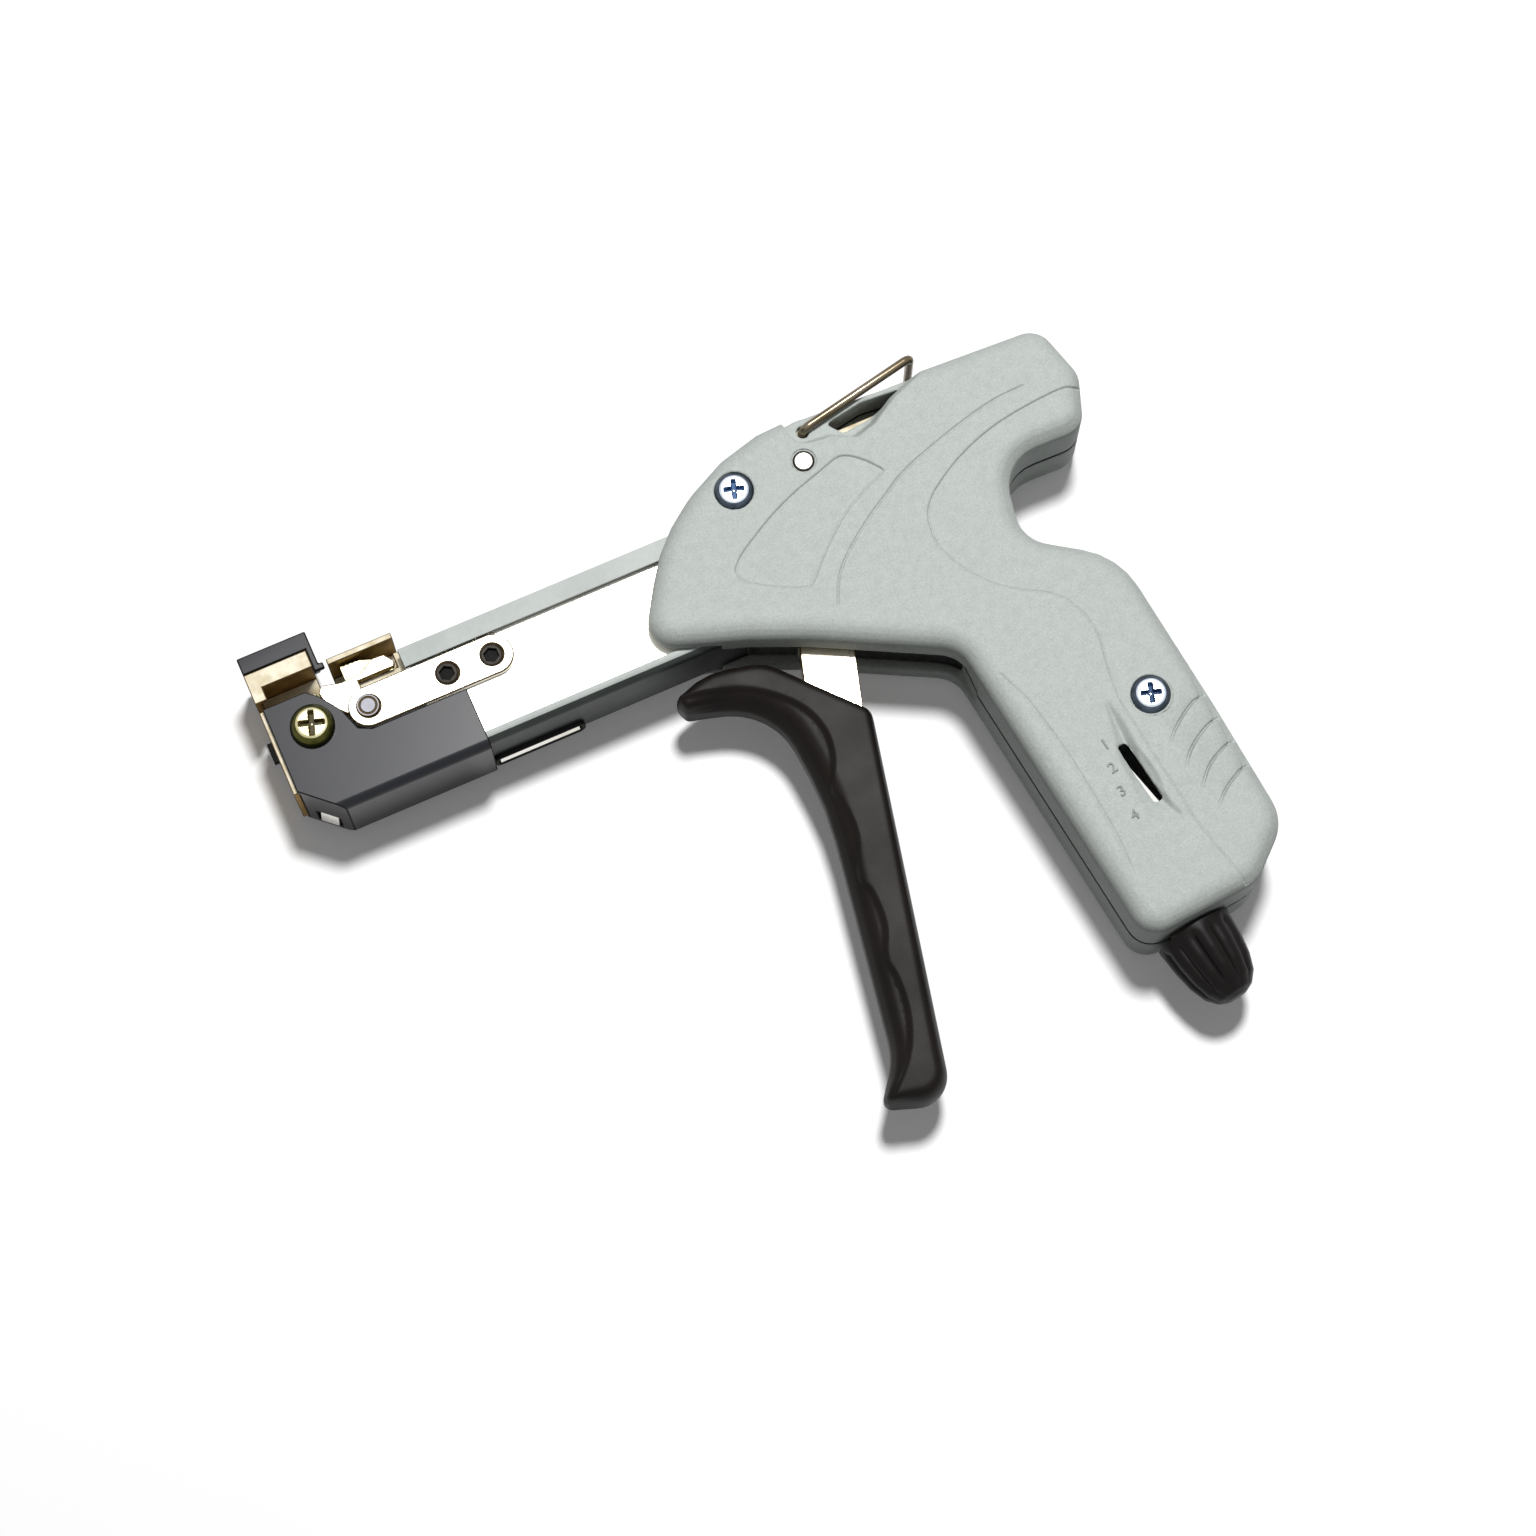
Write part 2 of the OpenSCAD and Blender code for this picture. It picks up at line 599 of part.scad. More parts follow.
// Bail: one bent wire with its ends turned in
bail_rest = 11.7;
bail_bend = 1.2;
function bail_half(side) =
    let (z = side * bail_w / 2, tail = side * (bracket_in - gap), r = bail_bend)
    concat([[0, 0, tail], [0, 0, z - side * r]],
        [for (t = [30, 60]) [r - r * cos(t), 0, z - side * r * (1 - sin(t))]],
        [[r, 0, z], [bail_l - r, 0, z]],
        [for (t = [30, 60]) [bail_l - r + r * sin(t), 0, z - side * r * (1 - cos(t))]],
        [[bail_l, 0, z - side * r]]);
module bail() color(c_nickel) translate([bail_at[0], bail_at[1], 0]) rotate(bail_rest) {
    path = concat(bail_half(1), [for (p = [len(bail_half(1)) - 1:-1:0]) bail_half(-1)[p]]);
    wire(path, bail_d / 2, [0, 1, 0], 8);
}

// Trigger: two cheeks that run from the pivot into the moulded grip
arm_turn = -16.7;
arm_l = 56;
web_from = 36;
head_r = 7;
slot_run = 2;
function on_arm(s, off) =
    pivot + [s * sin(arm_turn) + off * cos(arm_turn), -s * cos(arm_turn) + off * sin(arm_turn)];
pull_h = 8;
pull_arm = (pivot[1] - barrel_bottom - sheet - gap - pull_h / 2 - pull_clear) / cos(arm_turn);
pull_at = on_arm(pull_arm, 0);
module trigger_lever() color(c_nickel) {
    slab([on_arm(web_from, -arm_w / 2), on_arm(arm_l, -arm_w / 2), on_arm(arm_l, -arm_w / 2 + cheek_t),
        on_arm(web_from, -arm_w / 2 + cheek_t)], -cheek_out + cheek_t / 2, cheek_out - cheek_t / 2);
    for (side = [0, 1]) mirror([0, 0, side]) difference() {
        union() {
            rod_z(pivot, 2 * head_r, cheek_out - cheek_t, cheek_out);
            slab([on_arm(0, -arm_w / 2), on_arm(arm_l, -arm_w / 2), on_arm(arm_l, arm_w / 2),
                on_arm(0, arm_w / 2)], cheek_out - cheek_t, cheek_out);
        }
        rod_z(pivot, pivot_d + 2 * fit, 0, half_t);
        round_bar(on_arm(pull_arm - slot_run, 0), on_arm(pull_arm + slot_run / 2, 0), pull_pin_d + gap, 0,
            half_t);
    }
}

// Moulded grip: corners as shares of its width and height, then radius share and inset share
grip_l = 36;
grip_reach = 43.2;
grip_low = 2.2;
grip_at = [pivot[0] - grip_reach, pivot[1] - trigger_reach - grip_low];
horn_gap = 2.4;
horn_share = 1.004;
grip_h = (barrel_bottom - horn_gap - grip_at[1]) / horn_share;
grip_shares = [[0.111, 0.054, 0.042, 0.3], [0.478, 0.001, 0.167, 0.57], [0.989, 0.792, 0.083, 0.34],
    [0.556, 0.974, 0.28, 0.45], [0.194, 1.004, 0.44, 0.45], [-0.003, 0.97, 0.036, 0.25],
    [0.028, 0.938, 0.042, 0.3], [0.489, 0.882, 0.39, 1], [0.528, 0.65, 1.67, 1], [0.275, 0.135, 0.42, 0.73]];
grip_inset = 4.4;
module trigger_grip() color(c_grip) difference() {
    grip_corners = from_shares(grip_at, [grip_l, grip_h], grip_shares);
    grip_loop = loop_points(grip_corners, [for (s = grip_shares) s[2] * grip_l],
        [for (s = grip_shares) s[3] * grip_inset]);
    edge = grip_w / 2;
    rings = [for (t = [-90:18:90]) [edge * sin(t), 1 - cos(t)]];
    loft(grip_loop, rings);
    slab([on_arm(0, -arm_w / 2 - seat), on_arm(arm_l + seat, -arm_w / 2 - seat),
        on_arm(arm_l + seat, arm_w / 2 + seat), on_arm(0, arm_w / 2 + seat)], -cheek_out - seat,
        cheek_out + seat);
}

// Torsion spring round the trigger pin
torsion_turns = 3;
torsion_wire = 0.8;
coil_gap = 0.45;
torsion_pitch = torsion_wire + coil_gap;
torsion_r = pivot_d / 2 + torsion_wire / 2 + gap;
coil_rings = 10;
function coil(r, turns, pitch, start) = [for (k = [0:turns * coil_rings])
    let (t = 360 * k / coil_rings) [r * cos(t), r * sin(t), start + pitch * k / coil_rings]];
module trigger_spring() color(c_steel) translate([pivot[0], pivot[1], 0])
    wire(coil(torsion_r, torsion_turns, torsion_pitch, -torsion_turns * torsion_pitch / 2),
        torsion_wire / 2, [0, 0, 1]);

// Pull bar: from the pull pin through the barrel to the gripper
pull_in = 2;
gripper_lead = 2.4;
gripper_x = barrel_front + gripper_lead;
gripper_floor = -3.3;
module pull_bar() color(c_steel) difference() {
    union() {
        round_bar([gripper_x + pull_h / 2 + pull_in, pull_at[1]], pull_at, pull_h, -bar_t / 2, bar_t / 2);
        translate([gripper_x + pull_in, pull_at[1] - pull_h / 2, -bar_t / 2])
            cube([pull_h, gripper_floor - seat - pull_at[1] + pull_h / 2, bar_t]);
    }
    rod_z(pull_at, pull_pin_d + 2 * seat, -bar_t, bar_t);
}
module pull_pin() color(c_steel) rod_z(pull_at, pull_pin_d, -cheek_out, cheek_out);

// Gripper: a channel open on the near side, with the tie path under its roof
gripper_roof = 5.4;
gripper_far = -inner_half + gap;
gripper_near = bar_z - gap;
tail_gap = 3;
module gripper() color(c_zinc) difference() {
    translate([gripper_x, gripper_floor, gripper_far])
        cube([gripper_l, gripper_roof - gripper_floor, gripper_near - gripper_far]);
    translate([gripper_x - cut, gripper_floor + gripper_t, gripper_far + gripper_t])
        cube([gripper_l - gripper_t + cut, gripper_roof - gripper_floor - 2 * gripper_t, 2 * barrel_w]);
    translate([gripper_x, gripper_roof - gripper_t - tail_gap, gripper_far + gripper_t])
        cube([2 * gripper_l, tail_gap, 2 * barrel_w]);
    rod_z(pawl_at, pawl_pin_d + 2 * seat, -barrel_w, gripper_far + 2 * gripper_t);
}

// Pawl: a toothed wedge that pinches the tie against the roof
pawl_drop = 0.3;
pawl_at = [gripper_x + gripper_l * 0.72, -pawl_drop];
pawl_r = 1.6;
pawl_l = 8;
pawl_teeth = 5;
pawl_near = 1.6;
roof_under = gripper_roof - gripper_t;
pawl_top = roof_under - gap - pawl_at[1];
pawl_low = 0.9;
module pawl() color(c_nickel) translate([pawl_at[0], pawl_at[1], 0]) difference() {
    tooth = pawl_l * 0.6 / pawl_teeth;
    depth = tooth * 0.4;
    teeth = [for (k = [0:pawl_teeth - 1]) each [[-pawl_l + k * tooth, pawl_top - depth],
        [-pawl_l + (k + 0.15) * tooth, pawl_top - depth * k / pawl_teeth]]];
    union() {
        translate([0, 0, gripper_far + gripper_t + gap])
            linear_extrude(pawl_near - gripper_far - gripper_t - gap)
            polygon(concat(teeth, [[pawl_r, pawl_r], [pawl_r, -pawl_r * 0.8], [-pawl_r, -pawl_r * 0.7],
                [-pawl_l, pawl_low]]));
    }
    rod_z([0, 0], pawl_pin_d + 2 * fit, -barrel_w, barrel_w);
}
module pawl_pin() color(c_steel) rod_z(pawl_at, pawl_pin_d, gripper_far, gripper_near - seat);

// Cut-off bar: the bright plate in the barrel window, with a tail to the rocker
bar_back = 1.2;
bar_front = head_room + bar_back;
bar_top = barrel_rise - gap;
bar_bottom = barrel_bottom + sheet + gap;
tail_w = 7;
tail_h = 5.5;
tail_l = 46;
notch_w = 6.8;
notch_from = 35.6;
link_y = -8.4;
link_x = 16.4;
link_pin_at = [link_x + link_h / 2, link_y];
socket_at = [[37.6, link_y], [47.2, link_y]];
module cutoff_bar() color(c_nickel) difference() {
    union() {
        translate([bar_front, bar_bottom, bar_z])
            cube([barrel_end - bar_front, bar_top - bar_bottom, link_t]);
        translate([barrel_end - cut, rocker_tip[1] - rocker_w / 2 - gap, bar_z])
            cube([tail_l + cut, tail_w, link_t]);
    }
    translate([barrel_end + notch_from, rocker_tip[1] - tail_w, 0])
        cube([notch_w, tail_w + rocker_w / 2 + gap, half_t]);
    for (p = socket_at) rod_z(p, socket_d * 0.6 + 2 * seat, 0, half_t);
}
module link_plate() color(c_nickel) difference() {
    round_bar(link_pin_at, [link_x + link_l - link_h / 2, link_y], link_h, link_z + seat, link_top);
    rod_z(link_pin_at, link_pin_d + 2 * seat, 0, half_t);
    for (p = socket_at) {
        rod_z(p, socket_d * 0.6 + 2 * seat, 0, half_t);
        rod_z(p, socket_d + 2 * seat, link_top - link_t * 0.6, half_t);
    }
}
module socket_screws() color(c_black) for (p = socket_at) difference() {
    union() {
        rod_z(p, socket_d * 0.6, bar_z, link_top);
        rod_z(p, socket_d, link_top - link_t * 0.6 + seat, link_top + link_t * 0.1);
    }
    translate([p[0], p[1], link_top - link_t * 0.4]) cylinder(d = socket_d * 0.55, h = link_t, $fn = 6);
}
module link_pin() color(c_nickel) rod_z(link_pin_at, link_pin_d, bar_z, link_top + link_t * 0.1);

// Cutter lever: a bell crank on the link pin, with a blade that crosses the tie
lever_size = [16.5, 9];
lever_reach = 8.2;
lever_at = [link_pin_at[0] - lever_reach, link_pin_at[1]];
lever_shares = [[0.51, 0.1], [0.5, 0.69], [0.97, 0.69], [1, 0.8], [0.91, 1.04], [0.76, 1.06], [0.55, 0.84],
    [0.3, 0.82], [0.06, 0.93], [0, 0.78], [0.03, 0.47], [0.26, 0.02]];
blade_w = 1.5;
blade_h = 1.6;
blade_in = 0.9;
module cutter_lever() color(c_nickel) difference() {
    union() {
        rod_z(link_pin_at, link_h - gap, bar_z, link_z);
        slab(from_shares(lever_at, lever_size, lever_shares), bar_z, link_z);
        translate([lever_at[0] + blade_in, lever_at[1] + lever_size[1] * 0.6, gripper_far + gap])
            cube([blade_w, blade_h, bar_z - gripper_far - gap + link_t / 2]);
    }
    rod_z(link_pin_at, link_pin_d + 2 * fit, 0, half_t);
}

// Rocker: passes the spring force to the cut-off bar
rocker_w = 4;
rocker_drop = 9;
rocker_tip = [barrel_end + notch_from + gap + rocker_w / 2, -rocker_drop];
foot_w = 75;
foot_d = 5;
rocker_foot = axis_foot + axis_dir * foot_w;
// How far below the foot's centre the rocker reaches, more where its arm falls from the foot to the pin
foot_run = rocker_at - rocker_foot;
foot_fall_share = max(0, -foot_run * axis_dir) / abs(cross(foot_run, axis_dir));
foot_reach = foot_d / 2 + foot_fall_share * (foot_d + rod_d) / 2;
module rocker() color(c_steel) difference() {
    union() {
        round_bar(rocker_at, rocker_tip, rocker_w, bar_z, link_z);
        round_bar(rocker_at, rocker_foot, foot_d, -bar_t / 2, bar_t / 2);
        rod_z(rocker_at, rocker_pin_d + 2 * link_t, -bar_t / 2 - gap / 2, link_z + gap / 2);
    }
    rod_z(rocker_at, rocker_pin_d + 2 * fit, -half_t, half_t);
}
module rocker_pin() color(c_steel)
    rod_z(rocker_at, rocker_pin_d, -half_t + wall + seat, half_t - wall - seat);

// Knob on the tension axis, fluted and tapered to a round tip
knob_gap = 0.9;
knob_profile_shares = [[0, 0], [0.5, 0], [0.5, 0.12], [0.48, 0.35], [0.43, 0.6], [0.36, 0.8], [0.26, 0.93],
    [0.12, 0.99], [0, 1]];
module knob() color(c_black) on_axis() difference() {
    translate([0, 0, -knob_gap]) mirror([0, 0, 1]) rotate_extrude($fn = 48)
        polygon([for (s = knob_profile_shares) [s[0] * knob_d, s[1] * knob_l]]);
    for (k = [0:knob_flutes - 1]) rotate(360 * k / knob_flutes)
        translate([knob_d * 0.535, 0, -knob_gap - knob_l - cut]) rotate([0, 4, 0])
            cylinder(d = knob_d * 0.13, h = knob_l * 0.93, $fn = 24);
    translate([0, 0, -knob_gap - knob_l * 0.6]) cylinder(d = rod_d + 2 * seat, h = knob_l, $fn = 48);
}
module knob_bush() color(c_steel) on_axis() difference() {
    translate([0, 0, -knob_gap / 2]) cylinder(d = bush_d, h = wall * 3, $fn = 48);
    translate([0, 0, -cut]) cylinder(d = rod_d + 2 * fit, h = wall * 5, $fn = 48);
}
plunger_room = 15;
plunger_w = foot_w - plunger_room;
rod_room = 8.56;
rod_l = knob_gap + knob_l * 0.6 + plunger_w - rod_room;
module tension_rod() color(c_steel) on_axis()
    translate([0, 0, -knob_gap - knob_l * 0.6 + seat]) cylinder(d = rod_d, h = rod_l, $fn = 48);

// Tension nut with its indicator flag, which shows in the window
nut_w = 20;
nut_h = 5;
nut_d = spring_d + 1;
flag_w = 1.6;
flag_l = 5.5;
flag_x = (window_at - axis_foot) * [cos(handle_turn), sin(handle_turn)] - flag_w / 2;
flag_near = half_t - wall - gap;
flag_in = nut_d / 4;
module tension_nut() color("white") on_axis() difference() {
    union() {
        translate([0, 0, nut_w]) cylinder(d = nut_d, h = nut_h, $fn = 48);
        translate([rod_d / 2 + fit + seat, -flag_in - flag_w, nut_w])
            cube([flag_x + flag_w - rod_d / 2 - fit - seat, flag_w, nut_h]);
        translate([flag_x, -flag_near, nut_w])
            cube([flag_w, flag_near - flag_in, nut_h + flag_l - flag_w / 2]);
    }
    translate([0, 0, nut_w - cut]) cylinder(d = rod_d + 2 * fit, h = nut_h + 2 * cut, $fn = 48);
}

// Tension spring between the nut and the plunger
spring_from = nut_w + nut_h + gap;
spring_to = plunger_w - gap;
module tension_spring() color(c_steel) on_axis() {
    run = spring_to - spring_from - spring_wire;
    wire(coil((spring_d - spring_wire) / 2, spring_turns, run / spring_turns, spring_from + spring_wire / 2),
        spring_wire / 2, [0, 0, 1]);
}
plunger_h = 3;
plunger_play = 0.9;
plunger_l = foot_w - foot_reach - plunger_play - plunger_w;
module plunger() color(c_steel) on_axis() translate([0, 0, plunger_w]) {
    cylinder(d = spring_d, h = plunger_h, $fn = 48);
    cylinder(d = rod_d, h = plunger_l, $fn = 48);
}

housing_near();
housing_far();
housing_screws();
trigger_pin();
barrel();
nose_plate();
hook_cap();
nose_cover();
nose_screw();
nose_bush();
bail_bracket();
bail();
trigger_lever();
trigger_grip();
trigger_spring();
pull_bar();
pull_pin();
gripper();
pawl();
pawl_pin();
cutoff_bar();
link_plate();
socket_screws();
link_pin();
cutter_lever();
rocker();
rocker_pin();
knob();
knob_bush();
tension_rod();
tension_nut();
tension_spring();
plunger();
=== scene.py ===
"""Cable tie tensioning tool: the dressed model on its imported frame.

Lengths are in millimetres until they meet a mesh, unless a comment says metres. X runs from the
nose to the handle, Y up the sheet, and Z towards the side that the photograph shows.
"""
import math
import bmesh
import bpy
import numpy as np
from mathutils import Matrix, Vector


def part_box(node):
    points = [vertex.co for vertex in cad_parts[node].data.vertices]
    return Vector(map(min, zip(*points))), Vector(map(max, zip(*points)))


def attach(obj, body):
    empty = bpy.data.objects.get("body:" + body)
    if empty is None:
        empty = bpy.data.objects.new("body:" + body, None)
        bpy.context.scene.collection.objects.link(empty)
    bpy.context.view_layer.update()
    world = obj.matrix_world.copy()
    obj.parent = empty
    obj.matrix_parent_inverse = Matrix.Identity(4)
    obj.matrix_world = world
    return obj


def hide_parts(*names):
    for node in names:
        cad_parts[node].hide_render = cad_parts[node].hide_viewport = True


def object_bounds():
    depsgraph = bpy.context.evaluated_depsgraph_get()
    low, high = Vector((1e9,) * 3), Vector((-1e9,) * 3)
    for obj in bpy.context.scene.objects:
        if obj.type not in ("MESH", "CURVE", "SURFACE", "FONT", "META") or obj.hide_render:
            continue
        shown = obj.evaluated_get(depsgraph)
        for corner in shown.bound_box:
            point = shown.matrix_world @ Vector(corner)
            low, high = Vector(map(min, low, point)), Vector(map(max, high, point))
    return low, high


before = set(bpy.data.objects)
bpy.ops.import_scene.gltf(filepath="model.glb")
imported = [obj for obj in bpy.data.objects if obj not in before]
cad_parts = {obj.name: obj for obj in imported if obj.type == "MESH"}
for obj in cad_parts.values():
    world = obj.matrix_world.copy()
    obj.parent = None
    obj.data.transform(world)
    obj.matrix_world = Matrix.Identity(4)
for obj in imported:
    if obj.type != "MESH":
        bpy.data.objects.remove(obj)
cad_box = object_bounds()
MM = 0.001

# Camera, fitted to the photograph: TILT is from straight above, TURN is about Z. CLIP is in metres.
LENS = 85.0
SENSOR = 36.0
TILT = math.radians(16.0)
TURN = math.radians(24.0)
CAMERA_AT = np.array([7.412, -233.492, 698.978])
CLIP = (0.01, 20)

# Housing: half its thickness, the lean of its handle, and the lines on its face, seen from Z.
HALF_T = 13.0
HANDLE_TURN = math.radians(8)
PANEL = [(98.2, -14.7), (98.4, -13.3), (100.9, -10.9), (104.7, -8.6), (109.8, -5.8),
         (115.7, -3.3), (122.3, -1.2), (127.2, 0.1), (130.7, -1.9), (133.7, -5.5), (133.3, -6.6),
         (128.6, -8.6), (122.1, -12.3), (115.2, -18.3), (111.5, -22.1), (109.5, -22.5),
         (104.3, -20.1), (98.8, -16.5)]
BODY_LINE = [(114, -28.4), (116.8, -23), (121.3, -18.5), (126.9, -14.4), (132.2, -11.2),
             (136.6, -8.6), (142.4, -6.3), (152.4, -3.3), (160.4, -1.5), (167.4, -1)]
GRIP_LINE = [(184, -5.9), (178.2, -5.6), (174.4, -4.8), (167.4, -5.2), (160.4, -6.2),
             (154.4, -7.8), (148.4, -10.3), (143, -13.5), (140.1, -15.9), (138.2, -18.9),
             (137.4, -24), (138.5, -28.4), (141.3, -33.5), (145, -37.8), (148.9, -40.7),
             (153, -43), (155.9, -45.8), (157.8, -49.5), (158.6, -53.1), (158.6, -56.4),
             (157.6, -61.8), (156.8, -69), (157.5, -76), (158.3, -84), (159.2, -91), (160.1, -99),
             (162.4, -108.5), (165, -120)]
GRIP_BACK = [(200, -120), (200, -5.9)]
HANDLE_LINE = [(137.5, -55), (138.6, -58.2), (140, -61.9), (142.2, -73), (143.6, -85),
               (144.2, -95), (144, -101)]
GRIP_GROOVES = [
    [(161.2, -82.6), (163.4, -79.9), (166.2, -77.6), (169.7, -75.5), (173, -74.7), (180, -73.6)],
    [(161.9, -88.3), (165.1, -84.3), (169.4, -81.4), (173.2, -80.2), (180, -79)],
    [(162.9, -93.4), (166.9, -88.8), (170.5, -86.7), (173.8, -85.7), (180, -84.6)],
    [(164, -98.1), (167.8, -94.4), (171.4, -92.3), (174.1, -91.4), (180, -90.4)]]
PIVOT = (120.2, 2.2)
PIN_D = 4.4

# The well round the window: its two sides and its deepest line, and its depth at each height Y.
WELL_LEFT = [(153.9, -68), (153, -72), (152.3, -77), (151.9, -82), (151.2, -88), (151.6, -93),
             (152.2, -99)]
WELL_DEEP = [(154.1, -69), (154.2, -74), (154.3, -78), (154.7, -83.5), (155.4, -89.6),
             (156.3, -92.6), (157.4, -95)]
WELL_RIGHT = [(154.6, -68.5), (155.4, -72), (155.8, -77.4), (156.2, -84), (157, -91.2),
              (157.6, -93.6), (158.4, -96)]
WELL_DEPTH = [(-99, 0), (-96, 0.3), (-91, 1.8), (-80, 2.0), (-74, 1.5), (-69, 0.4), (-68, 0)]
WELL_FROM = 9.5

# Relief of the face: the sunk panel and grip area, the moulded lines, and the grip's grooves.
# BORDER, FAINT and GROOVE_DEEP are shares of a depth, FAINT_WIDE of a width. A groove's side
# reaches as far as GRIP_FALLS times GRIP_FALL.
STEP = 0.35
STEP_W = 0.3
LINE_DEPTH = 0.42
LINE_W = 0.19
BORDER = 0.7
FAINT = 0.5
FAINT_WIDE = 1.6
GRIP_STEP = 0.75
GRIP_FALL = 2.6
GRIP_FALLS = 4
GRIP_FADE = 7.0
GROOVE_W = 0.24
GROOVE_DEEP = 1.2
PIN_RING_W = 0.16

# Where the relief starts and how it fades in, by height Z and by how far a face looks up.
FACE_FROM = 8.5
FACE_OVER = 1.5
FACING_FROM = 0.15
FACING_OVER = 0.5

# The parting groove and its seam in painted shade. UPRIGHT is the most such a face looks up.
PARTING = 0.5
PARTING_W = 0.35
PARTING_UPRIGHT = 0.8
SEAM = 0.55
SEAM_UPRIGHT = 0.9

# Housing mesh: cell sizes, strength and rounds of smoothing, how near a line edges are cut and
# how often, and the share of faces kept.
VOXEL = 0.35
SMOOTHING = 0.5
HOUSING_ROUNDS = 5
CLOSE = 0.9
LINE_CUTS = 2
HOUSING_KEPT = 0.35

# Trigger grip: the outline of its raised side panels, whose first PANEL_CURVED points form a
# curve. From PANEL_FROM off the middle plane, and over the next PANEL_OVER, the panels come to
# stand proud by PANEL_STAND.
SIDE_PANEL = [(78, -31.5), (84.6, -33), (90.6, -35.2), (95.6, -38.7), (99.6, -43.2),
              (101.6, -48.7), (101.1, -54.7), (98.1, -61.2), (98.9, -64.7), (98.6, -71.7),
              (95.6, -79.7), (96.6, -83.7), (96.1, -90.7), (93.6, -96.7), (93.9, -101.7),
              (92.9, -108.7), (90.1, -115.2), (85.6, -120.2), (80, -126), (80, -140),
              (130, -140), (130, -20), (78, -20)]
PANEL_CURVED = 18
PANEL_STAND = 0.75
PANEL_EDGE = 0.9
PANEL_FROM = 1.5
PANEL_OVER = 3.0
GRIP_VOXEL = 0.4
GRIP_ROUNDS = 8
GRIP_SMOOTHING = 0.4
GRIP_KEPT = 0.5

# Numbers beside the window. FONT_SHARE is the type size over the height of a digit.
NUMBERS = [("1", 150.1, -76.5), ("2", 149.4, -81.4), ("3", 149, -86.4), ("4", 149.2, -91.8)]
NUMBER_H = 2.2
NUMBER_RISE = 0.22
NUMBER_EDGE = 0.05
FONT_SHARE = 1.4

# Flag of the nut: how much longer it is, its ends' widths as shares, and its shift to the left.
# Its corners are those within FLAG_TOP of the nut's top.
FLAG_LONGER = 2.4
FLAG_TIP = 0.1
FLAG_WIDE = 1.05
FLAG_LEFT = 0.3
FLAG_TOP = 0.05

# Knob: KNOB_PROFILE is radius over diameter at each share of the length. The flutes start at
# FLUTE_FROM and end at FLUTE_TO, as shares of the length too.
KNOB_AT = (152.0, -114.3)
KNOB_GAP = 0.9
KNOB_L = 16.1
KNOB_D = 16.0
KNOB_PROFILE = [(0.0, 0.5), (0.12, 0.5), (0.35, 0.485), (0.6, 0.44), (0.8, 0.365), (0.93, 0.25),
                (0.985, 0.13), (1.0, 0.0)]
KNOB_RINGS = 48
KNOB_AROUND = 144
FLUTES = 12
FLUTE_DEPTH = 0.1
FLUTE_POWER = 0.7
FLUTE_FROM = 0.04
FLUTE_RISE = 0.12
FLUTE_TO = 1.02
FLUTE_FADE = 0.4

# Bail, a loop of wire whose ends turn in to the bracket's ears.
BAIL_AT = (123.497, 9.895)
BAIL_TURN = math.radians(11.7)
BAIL_D = 1.8
BAIL_L = 27.0
BAIL_W = 17.2
BAIL_BEND = 1.6
BEND_STEPS = [15, 30, 45, 60, 75, 90]
EAR_IN = 4.6
WIRE_AROUND = 20

# Places of the screws and pins, and the turn of the cross recesses.
SCREW_AT = [(104.8, 2.1), (162.9, -70.6)]
NOSE_AT = (8.8, -8.3)
SOCKET_AT = [(37.4, -8.4), (47.0, -8.5)]
LINK_AT = (20.5, -8.2)
ALONG = math.radians(-18)

# Heads: how far they fall at each share of the radius, as a share of the head's height. The
# first ring is at HEAD_MIDDLE. From the depth IN_RECESS, a share too, a face is the recess's.
PAN = [(0, 0), (0.62, 0.05), (0.8, 0.2), (0.93, 0.5), (1, 0.85)]
SOCKET_HEAD = [(0, 0), (0.86, 0), (1, 0.25)]
RIVET_HEAD = [(0, 0), (0.62, 0), (0.68, 0.4), (0.8, 0.4), (0.84, 0), (1, 0)]
PIN_HEAD = [(0, 0), (0.76, 0), (1, 0.9)]
HEAD_MIDDLE = 0.03
HEAD_RINGS = 34
HEAD_AROUND = 96
HEAD_CREASE = math.radians(40)
CROSS_RUN = 0.3
CROSS_FLANK = 0.16
SOCKET_FLANK = 0.14
IN_RECESS = 0.25

# Guide frame round the slot under the barrel, and the strip in it. GUIDE_SECTION has each corner
# of the frame's section: how far out from the slot, and how far down from the barrel.
GUIDE_X = 49.5
GUIDE_Z = -4.4
GUIDE_L = 18.0
GUIDE_W = 3.0
GUIDE_CORNER = 0.7
GUIDE_SECTION = [(0.0, -0.2), (0.0, 0.75), (0.18, 0.95), (0.75, 0.95), (0.93, 0.75),
                 (0.93, -0.2)]
STRIP_LOW = (-8.7, -0.45, -1.2)
STRIP_HIGH = (8.7, 0.5, 1.2)
STRIP_SLOPE = 0.3

# Tab in the nose cover's window. BAR_EDGE rounds it and the strip.
TAB_AT = (4.7, -23.02, -4.7)
TAB_TURN = math.radians(-42.2)
TAB_LOW = (-1.9, 0.1, -2.2)
TAB_HIGH = (1.9, 0.6, 2.6)
TAB_SLOPE = 0.2
BAR_EDGE = 0.12

# Corners closer than WELD are joined, and faces that turn by less than FLAT_WITHIN.
WELD = 0.002
KNOB_WELD = 0.01
FLAT_WITHIN = math.radians(0.6)

# Edges sharper than SHARP_FROM are rounded, in steps, and shading breaks at CREASE.
SHARP_FROM = math.radians(25.0)
SHEET_STEPS = 2
BAR_STEPS = 3
ROUND = 0.5
CREASE = math.radians(50)
NUT_CREASE = math.radians(30)
NORMAL_WEIGHT = 90

